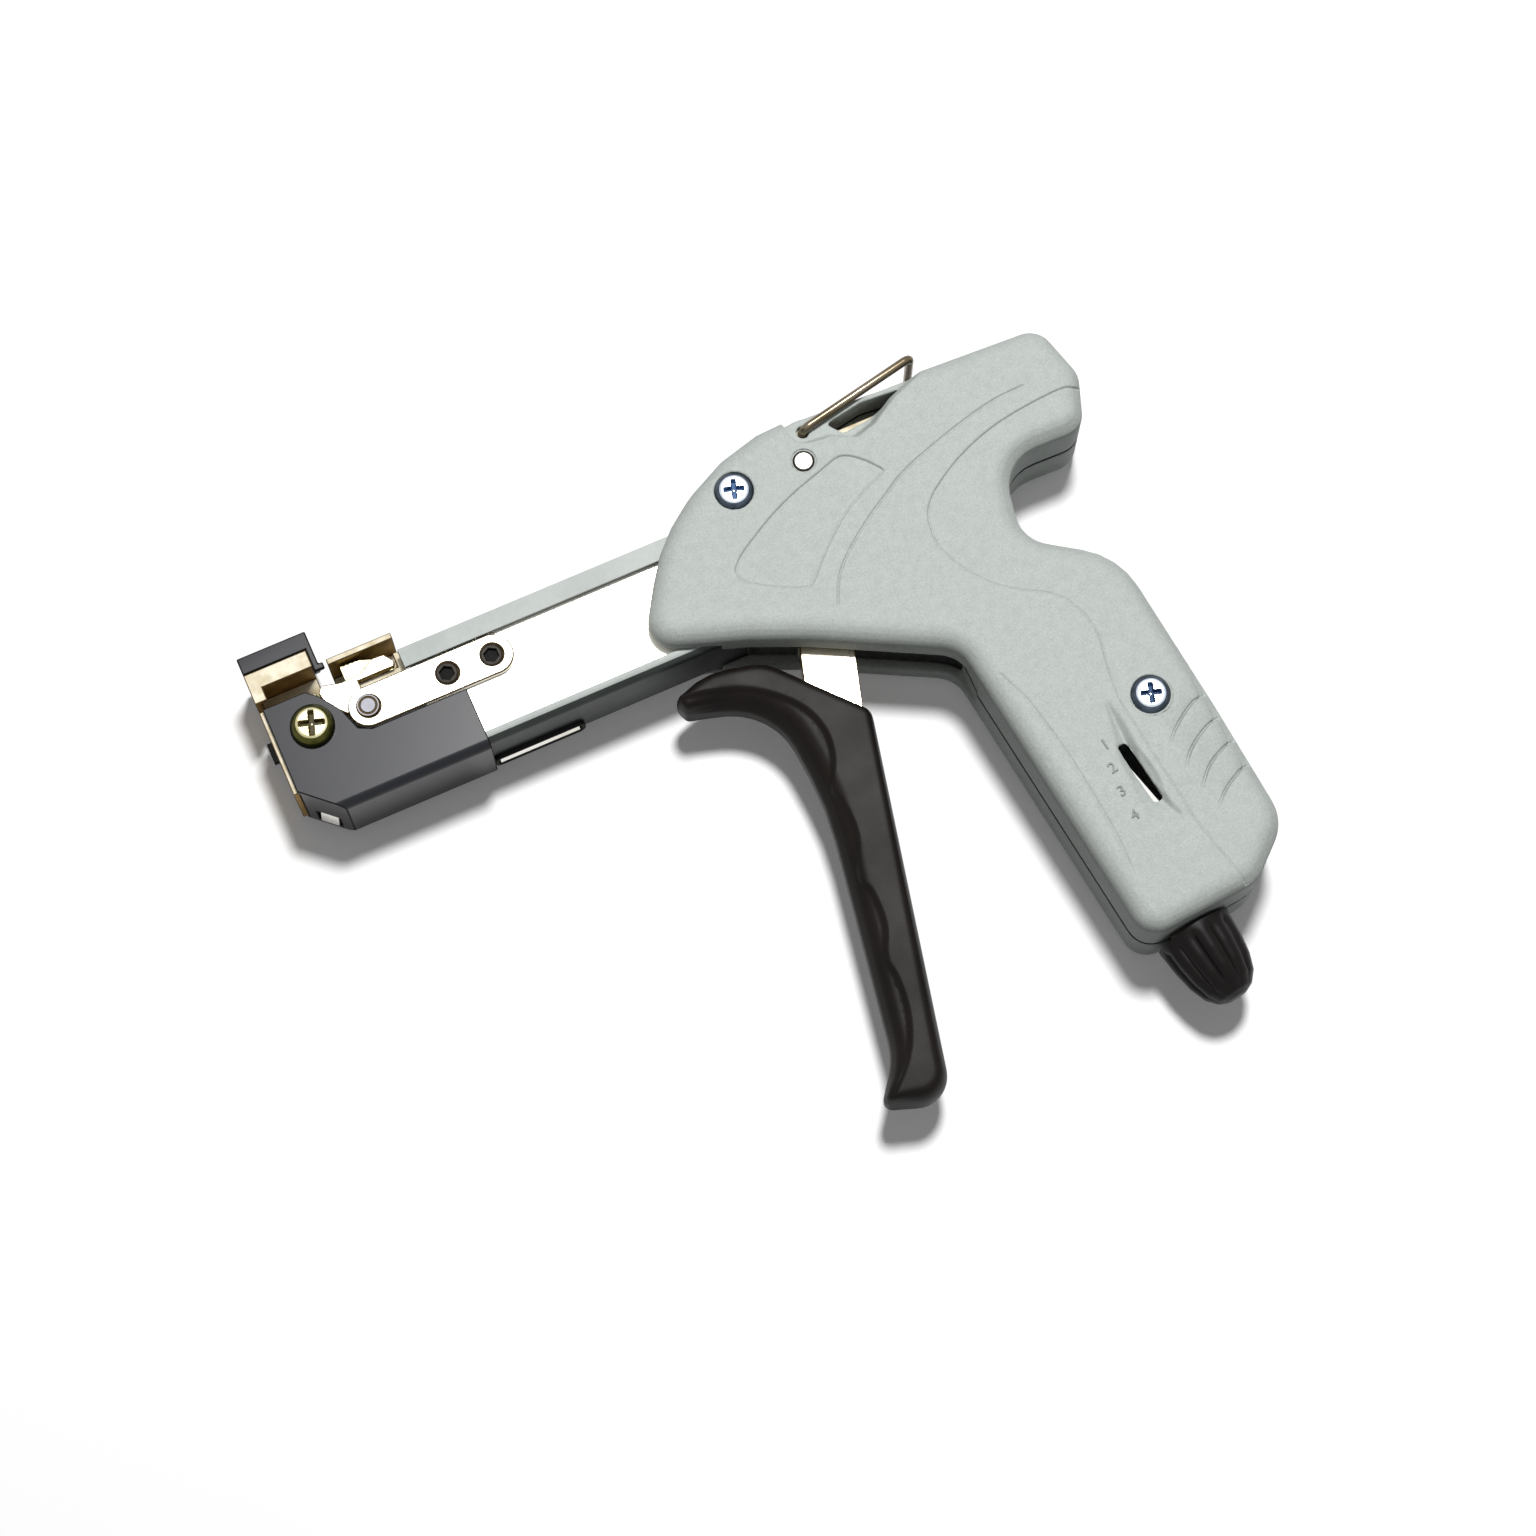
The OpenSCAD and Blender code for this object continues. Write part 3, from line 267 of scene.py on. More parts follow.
# A face is off the top if its normal's Z is no more than OFF_TOP, and is an underside if its Y
# is less than UNDERSIDE.
OFF_TOP = 0.5
UNDERSIDE = -0.35

# Distances to a line stop at REACH, and RUN of its segments are looked at together. TINY stands
# in for the square of a length of 0. A curve has CURVE_STEPS for each point of its line, and a
# rounded corner has CORNER_STEPS points.
REACH = 1.5
RUN = 6
TINY = 1e-9
CURVE_STEPS = 5
CORNER_STEPS = 6

# Finishes: the bands of noise over which the colour drifts and the speckle grows.
DRIFT_FROM, DRIFT_TO = 0.4, 0.68
GRAIN_FROM, GRAIN_TO = 0.3, 0.7
FINE_DETAIL = 3
LARGE_DETAIL = 4
TINT_SHARE = 0.8
LEAST_ROUGH = 0.02

# Floor, world and key lamp. FLOOR_HALF, FLOOR_DROP and all of KEY_ but the angles are in metres
# and watts. The floor shows FLOOR_COLOUR and FLOOR_LIFT, but throws back only FLOOR_BOUNCE.
FLOOR_HALF = 4.0
FLOOR_DROP = 0.0001
FLOOR_COLOUR = 0.98
FLOOR_BOUNCE = 0.16
FLOOR_LIFT = 0.105
WORLD = 0.12
KEY_AIM = np.array([0.095, -0.05, 0.0])
KEY_TILT = math.radians(17)
KEY_ASIDE = math.radians(9)
KEY_FAR = 1.5
KEY_SIZE = 0.24
KEY_POWER = 21.0


# Materials
def linear(*rgb):
    """An sRGB colour, 0 to 255, as a shader colour."""
    shares = [c / 255 for c in rgb]
    return [(s / 12.92 if c <= 10 else ((s + 0.055) / 1.055) ** 2.4)
            for c, s in zip(rgb, shares)] + [1.0]


def shader_node(tree, kind, values=None, **settings):
    """Adds a shader node. settings are its own, and values go to its sockets, by name or number."""
    node = tree.nodes.new("ShaderNode" + kind)
    for key, value in settings.items():
        setattr(node, key, value)
    for socket, value in (values or {}).items():
        node.inputs[socket].default_value = value
    return node


def finish(name, colour, rough, metal=0.0, tint=None, speckle=0.0, grain=2500.0, bump=0.1,
           depth=0.05, blotch=90.0, spread=0.08, brushed=(1, 1, 1), specular=0.5):
    """A procedural surface: colour that drifts to tint, speckle, uneven roughness and a bump."""
    mat = bpy.data.materials.new(name)
    mat.use_nodes = True
    tree = mat.node_tree
    shader = tree.nodes["Principled BSDF"]
    shader.inputs["Metallic"].default_value = metal
    shader.inputs["Specular IOR Level"].default_value = specular
    where = shader_node(tree, "TexCoord")
    place = shader_node(tree, "Mapping", {"Scale": brushed})
    fine = shader_node(tree, "TexNoise", {"Scale": grain, "Detail": FINE_DETAIL})
    large = shader_node(tree, "TexNoise", {"Scale": blotch, "Detail": LARGE_DETAIL})
    band = shader_node(tree, "MapRange", {"From Min": DRIFT_FROM, "From Max": DRIFT_TO})
    other = tint or [c * TINT_SHARE for c in colour[:3]] + [1.0]
    drift = shader_node(tree, "Mix", {"A": colour, "B": other}, data_type="RGBA")
    shade = shader_node(tree, "MapRange", {"From Min": GRAIN_FROM, "From Max": GRAIN_TO,
                                           "To Min": 1 - speckle, "To Max": 1 + speckle})
    dots = shader_node(tree, "Mix", {"Factor": 1.0}, data_type="RGBA", blend_type="MULTIPLY")
    sheen = shader_node(tree, "MapRange", {"To Min": max(LEAST_ROUGH, rough - spread),
                                           "To Max": min(1.0, rough + spread)})
    relief = shader_node(tree, "Bump", {"Strength": bump, "Distance": depth * MM})
    for source, output, target, socket in (
            (where, "Object", place, "Vector"), (place, "Vector", fine, "Vector"),
            (where, "Object", large, "Vector"), (large, "Fac", band, "Value"),
            (band, "Result", drift, "Factor"), (fine, "Fac", shade, "Value"),
            (drift, "Result", dots, "A"), (shade, "Result", dots, "B"),
            (dots, "Result", shader, "Base Color"), (large, "Fac", sheen, "Value"),
            (sheen, "Result", shader, "Roughness"), (fine, "Fac", relief, "Height"),
            (relief, "Normal", shader, "Normal")):
        tree.links.new(source.outputs[output], target.inputs[socket])
    return mat


PAINT = finish("hammer_paint", linear(184, 190, 186), 0.6, tint=linear(180, 186, 182),
               speckle=0.1, grain=2300, bump=0.5, depth=0.08, blotch=600, specular=0.35)
SEAM_PAINTED_SHADE = finish("seam_shade", linear(44, 47, 44), 0.7, speckle=0.08, grain=2000, specular=0.1)
# The raised numbers in a darker tone than the face.
NUMBER_DARKER = finish("number_darker_tone", linear(150, 156, 151), 0.6, speckle=0.04, grain=2600,
                specular=0.35)
BARREL_PAINT = finish("barrel_paint", linear(184, 190, 186), 0.5, tint=linear(176, 183, 179),
                      speckle=0.03, grain=900, bump=0.12, specular=0.35)
# Painted shade: a darker copy of the barrel's paint for its faces that look down the sheet, away
# from the lamp.
BARREL_UNDERSIDE_SHADE = finish("barrel_underside_shade", linear(48, 54, 51), 0.45, tint=linear(34, 39, 36), speckle=0.06,
               grain=900, bump=0.12, specular=0.3)
ZINC = finish("yellow_zinc", linear(206, 200, 166), 0.42, metal=1.0, tint=linear(180, 172, 124),
              speckle=0.05, grain=700, blotch=500)
# Painted shade: a darker gold copy of the yellow zinc for the faces of plated sheets that turn away
# from the top.
GOLD_SIDE_SHADE = finish("gold_zinc_side_shade", linear(156, 124, 56), 0.4, metal=1.0, tint=linear(134, 104, 42),
              speckle=0.06, grain=700, blotch=260)
# Painted shade along the rounded edges of the nickel arm and lever.
GOLD_EDGE_SHADE = finish("gold_edge_shade", linear(128, 106, 58), 0.55, tint=linear(94, 74, 34),
                   speckle=0.08, grain=700, specular=0.1)
# Painted shade on the nose screw's rounded rim, and in its cross recess below.
OLIVE_RIM_SHADE = finish("olive_rim_shade", linear(76, 76, 36), 0.3, metal=1.0, tint=linear(48, 48, 20),
               speckle=0.05, grain=700, blotch=300)
OLIVE_RECESS_SHADE = finish("olive_recess_shade", linear(88, 78, 42), 0.5, tint=linear(40, 34, 14), speckle=0.1,
                   grain=900, blotch=500, specular=0.2)
ZINC_PALE = finish("pale_zinc", linear(182, 176, 160), 0.66, metal=1.0,
                   tint=linear(164, 152, 124), speckle=0.06, grain=800, blotch=240)
GLOSS = finish("black_gloss", linear(20, 21, 25), 0.315, tint=linear(14, 16, 26), speckle=0.04,
               grain=500, bump=0.06, blotch=60, spread=0.025, specular=0.3)
NICKEL = finish("nickel", linear(196, 190, 178), 0.28, metal=1.0, tint=linear(176, 168, 150),
                speckle=0.03, grain=900, brushed=(0.12, 1, 1), bump=0.15)
WIRE = finish("wire_nickel", linear(128, 117, 100), 0.27, metal=1.0, tint=linear(96, 84, 66),
              speckle=0.05, grain=900, bump=0.15)
BRIGHT = finish("bright_plate", linear(236, 234, 228), 0.42, metal=1.0,
                tint=linear(228, 224, 214), speckle=0.025, grain=1200, brushed=(0.06, 1, 1),
                bump=0.12)
# Painted shade along the plates' rounded edges and in the rings of the link rivet.
EDGE_SHADE = finish("plate_edge_shade", linear(118, 100, 70), 0.55, tint=linear(84, 70, 46), speckle=0.08,
             grain=900, specular=0.1)
DISC = finish("rivet_face", linear(124, 124, 130), 0.5, metal=1.0, speckle=0.04, grain=900)
STEEL = finish("steel", linear(176, 178, 182), 0.34, metal=1.0, speckle=0.06, grain=1200,
               brushed=(0.2, 1, 1))
BLUE_ZINC = finish("blue_zinc", linear(222, 228, 236), 0.3, metal=1.0, tint=linear(190, 204, 222),
                   speckle=0.03, grain=800, blotch=400)
# Painted shade on the housing screws' rounded rims, and in their cross recesses below.
BLUE_RIM_SHADE = finish("blue_rim_shade", linear(84, 94, 106), 0.3, metal=1.0, tint=linear(52, 60, 70),
                  speckle=0.05, grain=800, blotch=400)
BLUE_RECESS_SHADE = finish("blue_recess_shade", linear(74, 108, 150), 0.55, tint=linear(34, 58, 96), speckle=0.1,
                  grain=800, specular=0.2)
# Black oxide on the socket screws; painted shade on the knob's bush in the gap and on the pivot
# pin's rim.
OXIDE_AND_SHADE = finish("black_oxide", linear(44, 38, 28), 0.5, speckle=0.1, grain=900, specular=0.2)
# Duller black for the guide frame and the black sheets' rims; painted shade in the hex recesses.
BLACK_AND_RECESS_SHADE = finish("black_and_recess_shade", linear(12, 11, 11), 0.6, speckle=0.1, grain=900, specular=0.1)
GRIP = finish("grip_black", linear(27, 23, 21), 0.43, tint=linear(21, 18, 16), speckle=0.12,
              grain=2400, bump=0.3, specular=0.09)
KNOB = finish("knob_black", linear(17, 14, 13), 0.42, speckle=0.08, grain=1500, bump=0.15,
              specular=0.12)
WHITE = finish("white_plastic", linear(232, 232, 226), 0.45, speckle=0.02)

FINISH = {
    "housing_near": PAINT, "housing_far": PAINT, "housing_screws": BLUE_ZINC,
    "trigger_pin": BRIGHT, "barrel": BARREL_PAINT, "nose_plate": ZINC_PALE, "hook_cap": GLOSS,
    "nose_cover": GLOSS, "nose_screw": ZINC, "nose_bush": STEEL, "bail_bracket": ZINC_PALE,
    "bail": WIRE, "trigger_lever": NICKEL, "trigger_grip": GRIP, "trigger_spring": STEEL,
    "pull_bar": STEEL, "pull_pin": STEEL, "gripper": ZINC_PALE, "pawl": ZINC, "pawl_pin": STEEL,
    "cutoff_bar": BRIGHT, "link_plate": BRIGHT, "socket_screws": OXIDE_AND_SHADE, "link_pin": NICKEL,
    "cutter_lever": BRIGHT, "rocker": STEEL, "rocker_pin": STEEL, "knob": KNOB,
    "knob_bush": OXIDE_AND_SHADE, "tension_rod": STEEL, "tension_nut": WHITE, "tension_spring": STEEL,
    "plunger": STEEL,
}
for name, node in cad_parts.items():
    node.data.materials.clear()
    node.data.materials.append(FINISH[name])


# Objects and meshes
def new_object(name, data):
    """An object of some data, linked into the scene."""
    made = bpy.data.objects.new(name, data)
    bpy.context.scene.collection.objects.link(made)
    return made


def add_piece(name, mesh, body, material, *stands_for):
    """Links a mesh in metres, gives it its finish and its body."""
    piece = new_object(name, mesh)
    mesh.materials.clear()
    mesh.materials.append(material)
    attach(piece, body)
    if stands_for:
        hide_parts(*stands_for)
    return piece


def add_zoned(name, mesh, body, looks, node):
    """add_piece for a mesh whose faces carry the numbers of their looks."""
    zones = [face.material_index for face in mesh.polygons]
    piece = add_piece(name, mesh, body, looks[0], node)
    for look in looks[1:]:
        mesh.materials.append(look)
    mesh.polygons.foreach_set("material_index", zones)
    return piece


def mesh_from(carrier):
    """The mesh that an object shows. The object goes."""
    shown = carrier.evaluated_get(bpy.context.evaluated_depsgraph_get())
    mesh = bpy.data.meshes.new_from_object(shown)
    bpy.data.objects.remove(carrier)
    return mesh


def through_modifiers(mesh, *steps):
    """The mesh after a row of modifiers, each (type, {setting: value})."""
    piece = new_object("work", mesh)
    for kind, settings in steps:
        modifier = piece.modifiers.new(kind, kind)
        for key, value in settings.items():
            setattr(modifier, key, value)
    return mesh_from(piece)


def mesh_of(bm, name, crease=None):
    """A bmesh as a mesh, shaded smooth up to the crease angle, if there is one."""
    mesh = bpy.data.meshes.new(name)
    bm.to_mesh(mesh)
    bm.free()
    if crease is not None:
        mesh.shade_smooth()
        mesh.set_sharp_from_angle(angle=crease)
    return mesh


def welded(node):
    """A copy of a node's mesh with its corners joined."""
    bm = bmesh.new()
    bm.from_mesh(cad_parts[node].data)
    bmesh.ops.remove_doubles(bm, verts=bm.verts, dist=WELD * MM)
    return mesh_of(bm, node)


def flattened(node):
    """A node's shape as a bmesh, with the triangles of each flat face joined."""
    bm = bmesh.new()
    bm.from_mesh(welded(node))
    bmesh.ops.dissolve_limit(bm, angle_limit=FLAT_WITHIN, verts=bm.verts, edges=bm.edges)
    return bm


def remeshed(node, voxel, rounds):
    """A node's shape in even, small faces, smoothed a number of rounds."""
    return through_modifiers(welded(node), ("REMESH", {"mode": "VOXEL", "voxel_size": voxel}),
                             ("SMOOTH", {"factor": SMOOTHING, "iterations": rounds}))


def ring(bm, points):
    """New corners at points, in order."""
    return [bm.verts.new(Vector(point) * MM) for point in points]


def skin(bm, rings):
    """Faces between neighbouring rings of corners: one list for each pair of rings."""
    made = []
    for a, b in zip(rings[:-1], rings[1:]):
        steps = [(k, (k + 1) % len(a)) for k in range(len(a))]
        made.append([bm.faces.new((a[k], b[k], b[n], a[n])) for k, n in steps])
    return made


def placed(x, y, z, turn):
    """The move of a shape from the origin to a point, turned about Z."""
    return Matrix.Translation((x * MM, y * MM, z * MM)) @ Matrix.Rotation(turn, 4, "Z")


def read_vectors(source, key):
    """A vector of each of a mesh's corners, as rows of an array."""
    found = np.empty(len(source) * 3, np.float32)
    source.foreach_get(key, found)
    return found.reshape(-1, 3).astype(float)


def points_of(mesh):
    """The places of a mesh's corners, in millimetres."""
    return read_vectors(mesh.vertices, "co") / MM


def set_points(mesh, places):
    """Puts a mesh's corners at places in millimetres."""
    mesh.vertices.foreach_set("co", (places * MM).astype(np.float32).ravel())
    mesh.update()


def split_near(mesh, picked, cuts):
    """Splits the edges whose two ends are picked, so that fine lines have points to stand on."""
    bm = bmesh.new()
    bm.from_mesh(mesh)
    bm.verts.ensure_lookup_table()
    edges = [e for e in bm.edges if picked[e.verts[0].index] and picked[e.verts[1].index]]
    bmesh.ops.subdivide_edges(bm, edges=edges, cuts=cuts, use_grid_fill=True)
    bm.to_mesh(mesh)
    bm.free()


# Curves and distances in the plane
def smooth(t):
    """A soft step from 0 at t = 0 to 1 at t = 1."""
    t = np.clip(t, 0, 1)
    return t * t * (3 - 2 * t)


def bell(t):
    """1 at t = 0, falling to nothing on both sides."""
    return np.exp(-t ** 2)


def read_off(rows, at):
    """Values between the rows of a table of (place, value)."""
    return np.interp(at, [row[0] for row in rows], [row[1] for row in rows])


def curved(line):
    """A finer line through the same points (Catmull-Rom)."""
    p = np.array([line[0]] + list(line) + [line[-1]], float)
    made = []
    for a, b, c, d in zip(p, p[1:], p[2:], p[3:]):
        for t in np.arange(CURVE_STEPS) / CURVE_STEPS:
            made.append(0.5 * (2 * b + (c - a) * t + (2 * a - 5 * b + 4 * c - d) * t ** 2
                               + (3 * b - a - 3 * c + d) * t ** 3))
    return np.array(made + [p[-1]])


def to_segment(points, a, b):
    """Distance of each point to a segment, and the side it lies on, above 0 on the right."""
    run = b - a
    from_a = points - a
    along = np.clip((from_a @ run) / max(run @ run, TINY), 0, 1)
    away = np.linalg.norm(from_a - along[:, None] * run, axis=1)
    return away, np.sign(run[1] * from_a[:, 0] - run[0] * from_a[:, 1])


def side_of(points, line, reach=REACH):
    """Signed distance to an open line, above 0 on its right, and no more than reach."""
    best = np.full(len(points), reach)
    side = np.ones(len(points))

    def close_to(some, corners):
        return np.flatnonzero(np.all((some > corners.min(0) - reach)
                                     & (some < corners.max(0) + reach), axis=1))

    near_line = close_to(points, line)
    part = points[near_line]
    for k in range(0, len(line) - 1, RUN):
        run = line[k:k + RUN + 1]
        close = close_to(part, run)
        index, few = near_line[close], part[close]
        for a, b in zip(run[:-1], run[1:]):
            away, hand = to_segment(few, a, b)
            nearer = away < best[index]
            best[index] = np.where(nearer, away, best[index])
            side[index] = np.where(nearer, hand, side[index])
    return best * side


def distance(points, line):
    """Distance to an open line, no more than REACH."""
    return np.abs(side_of(points, line))


def inside(points, loop):
    """True for each point within a closed loop."""
    found = np.zeros(len(points), bool)
    x, y = points[:, 0], points[:, 1]
    for (ax, ay), (bx, by) in zip(loop, np.roll(loop, -1, axis=0)):
        if ay != by:
            crosses = ((ay > y) != (by > y)) & (x < (bx - ax) * (y - ay) / (by - ay) + ax)
            found ^= crosses
    return found


def region(points, loop, width):
    """0 outside the loop, 1 inside it, with a smooth step as wide as width."""
    edge = np.vstack([loop, loop[:1]])
    away = distance(points, edge)
    return smooth(0.5 + np.where(inside(points, loop), away, -away) / width)


# Housing halves
PANEL_LOOP = curved(PANEL + PANEL[:1])[:-1]
PANEL_RING = np.vstack([PANEL_LOOP, PANEL_LOOP[:1]])
GRIP_EDGE = curved(GRIP_LINE)
GROOVES = [curved(line) for line in GRIP_GROOVES]
# Each moulded line with its share of LINE_DEPTH and of LINE_W.
MOULDED = [(PANEL_RING, BORDER, 1), (GRIP_EDGE, BORDER, 1), (curved(BODY_LINE), 1, 1),
           (curved(HANDLE_LINE), FAINT, FAINT_WIDE)]


def housing_relief(flat):
    """How deep the relief is at points of the face, in millimetres."""
    grip_area = np.vstack([GRIP_EDGE, GRIP_BACK])
    deep = STEP * region(flat, PANEL_LOOP, STEP_W) + STEP * region(flat, grip_area, STEP_W)
    for line, share, wide in MOULDED:
        deep += share * LINE_DEPTH * bell(distance(flat, line) / (wide * LINE_W))
    for line in GROOVES:
        side = side_of(flat, line, GRIP_FALLS * GRIP_FALL)
        fade = smooth(np.linalg.norm(flat - line[0], axis=1) / GRIP_FADE)
        fall = smooth(0.5 - side / STEP_W) * np.exp(-np.clip(-side, 0, None) / GRIP_FALL)
        deep += GRIP_STEP * fade * (fall + GROOVE_DEEP * bell(side / GROOVE_W))
    off_ring = np.abs(np.linalg.norm(flat - np.array(PIVOT), axis=1) - PIN_D / 2 - PIN_RING_W)
    return deep + LINE_DEPTH * bell(off_ring / PIN_RING_W)


def well(places):
    """Lowers the face to the finger-shaped well that the window slot lies in."""
    x, y, z = places.T
    left, deep, right = [read_off([(-py, px) for px, py in line], -y)
                         for line in (WELL_LEFT, WELL_DEEP, WELL_RIGHT)]
    share = np.minimum((x - left) / (deep - left), (right - x) / (right - deep))
    lower = HALF_T - read_off(WELL_DEPTH, y) * np.clip(share, 0, 1) * (share > 0)
    touched = (y > WELL_DEPTH[0][0]) & (y < WELL_DEPTH[-1][0]) & (share > 0) & (z > WELL_FROM)
    places[touched, 2] = np.minimum(z, lower)[touched]


def housing_half(name, node, side):
    """A half with its relief and parting groove, and with the well if it is the near one."""
    voxel = VOXEL * MM
    mesh = remeshed(node, voxel, HOUSING_ROUNDS)
    places = points_of(mesh)
    flat = places[:, :2]
    high = places[:, 2] * side > FACE_FROM
    picked = np.zeros(len(places), bool)
    lines = [line for line, _, _ in MOULDED] + GROOVES
    picked[high] = np.min([distance(flat[high], line) for line in lines], axis=0) < CLOSE
    picked |= high & (np.linalg.norm(flat - np.array(PIVOT), axis=1) < PIN_D / 2 + CLOSE)
    split_near(mesh, picked, LINE_CUTS)

    places, facing = points_of(mesh), read_vectors(mesh.vertices, "normal")
    height = places[:, 2] * side
    outer = (smooth((facing[:, 2] * side - FACING_FROM) / FACING_OVER)
             * smooth((height - FACE_FROM) / FACE_OVER))
    high = height > FACE_FROM
    deep = np.zeros(len(places))
    deep[high] = housing_relief(places[high, :2])
    places -= facing * (deep * outer)[:, None]
    upright = np.abs(facing[:, 2]) < PARTING_UPRIGHT
    parted = PARTING * bell(places[:, 2] / PARTING_W) * upright
    places[:, :2] -= facing[:, :2] * parted[:, None]
    if side > 0:
        well(places)
    set_points(mesh, places)

    mesh = through_modifiers(mesh, ("DECIMATE", {"ratio": HOUSING_KEPT}))
    mesh.shade_smooth()
    piece = add_piece(name, mesh, "frame", PAINT, node)
    # Faces along the seam take painted shade in the parting groove.
    mesh.materials.append(SEAM_PAINTED_SHADE)
    for face in mesh.polygons:
        if abs(face.center.z) < SEAM * MM and abs(face.normal.z) < SEAM_UPRIGHT:
            face.material_index = 1
    return piece


housing_half("near_half", "housing_near", 1)
housing_half("far_half", "housing_far", -1)


# Trigger grip
def trigger_grip():
    """The grip's moulding, with a panel that stands proud on each side."""
    mesh = remeshed("trigger_grip", GRIP_VOXEL * MM, GRIP_ROUNDS)
    places = points_of(mesh)
    outline = curved(SIDE_PANEL[:PANEL_CURVED]).tolist() + SIDE_PANEL[PANEL_CURVED:]
    panel = region(places[:, :2], outline, PANEL_EDGE)
    reach = smooth((np.abs(places[:, 2]) - PANEL_FROM) / PANEL_OVER)
    places[:, 2] -= np.sign(places[:, 2]) * PANEL_STAND * (1 - panel) * reach
    set_points(mesh, places)
    mesh = through_modifiers(mesh, ("SMOOTH", {"factor": GRIP_SMOOTHING, "iterations": 1}),
                             ("DECIMATE", {"ratio": GRIP_KEPT}))
    mesh.shade_smooth()
    return add_piece("grip_moulding", mesh, "trigger", GRIP, "trigger_grip")


trigger_grip()


# Pressed and machined pieces with softened edges
def off_top(normal):
    """True for a face that doesn't look up to the photograph's side."""
    return normal.z <= OFF_TOP


def underside(normal):
    """True for a face that looks down the sheet."""
    return normal.y < UNDERSIDE


def edged(name, node, body, width, slot, rim=None, side=None, off_side=off_top):
    """The node's shape with rounded edges, in the rim's finish, and side where off_side says so."""
    bm = flattened(node)
    if side:
        for face in bm.faces:
            face.material_index = 1 if off_side(face.normal) else 0
    sharp = [e for e in bm.edges if e.is_manifold and e.calc_face_angle(0) > SHARP_FROM]
    made = bmesh.ops.bevel(bm, geom=sharp, offset=width * MM, segments=SHEET_STEPS, profile=ROUND,
                           affect="EDGES", clamp_overlap=False)
    if rim:
        for face in made["faces"]:
            face.material_index = 2
    mesh = through_modifiers(mesh_of(bm, name, CREASE),
                             ("WEIGHTED_NORMAL", {"keep_sharp": True, "weight": NORMAL_WEIGHT}))
    looks = [FINISH[node], side or FINISH[node], rim or FINISH[node]]
    return add_zoned(name, mesh, body, looks, node)


# Each piece with its node, body, width of the rounding, slot and other finishes.
# Most rim and side finishes paint shade, on the plates' edges and on faces turned from the lamp.
SHEETS = {
    "cover_shell": ("nose_cover", "frame", 0.24, "black_gloss", {"rim": BLACK_AND_RECESS_SHADE}),
    "hook_cap_shell": ("hook_cap", "frame", 0.3, "black_gloss", {"rim": BLACK_AND_RECESS_SHADE}),
    "hook_sheet": ("nose_plate", "frame", 0.2, "yellow_zinc", {"rim": EDGE_SHADE, "side": GOLD_SIDE_SHADE}),
    "gripper_sheet": ("gripper", "puller", 0.2, "yellow_zinc", {"rim": EDGE_SHADE, "side": GOLD_SIDE_SHADE}),
    "link_strap": ("link_plate", "cutoff", 0.3, "nickel", {"rim": EDGE_SHADE}),
    "cutter_arm": ("cutter_lever", "cutter", 0.28, "nickel", {"rim": GOLD_EDGE_SHADE, "side": GOLD_SIDE_SHADE}),
    "barrel_sheet": ("barrel", "frame", 0.18, "barrel_paint",
                     {"side": BARREL_UNDERSIDE_SHADE, "off_side": underside}),
    "lever_sheet": ("trigger_lever", "trigger", 0.22, "nickel", {"rim": GOLD_EDGE_SHADE}),
    "bracket_sheet": ("bail_bracket", "frame", 0.2, "nickel", {}),
}
for name, (node, body, width, slot, finishes) in SHEETS.items():
    edged(name, node, body, width, slot, **finishes)


# Screws and pins
def cross(x, y, reach, width):
    """A cross recess: its arms run out to the face, deepest in the middle."""
    def arm(u, v):
        return (smooth((reach - np.abs(u)) / (CROSS_RUN * reach))
                * smooth((width / 2 - np.abs(v)) / CROSS_FLANK + 0.5))
    return np.maximum(arm(x, y), arm(y, x))


def hexagon(x, y, across):
    """A hexagon recess."""
    far = np.max([np.abs(x * math.cos(a) + y * math.sin(a)) for a in np.radians([0, 60, 120])],
                 axis=0)
    return smooth((across / 2 - far) / SOCKET_FLANK + 0.5)


def no_recess(x, y):
    """A plain head."""
    return 0 * x


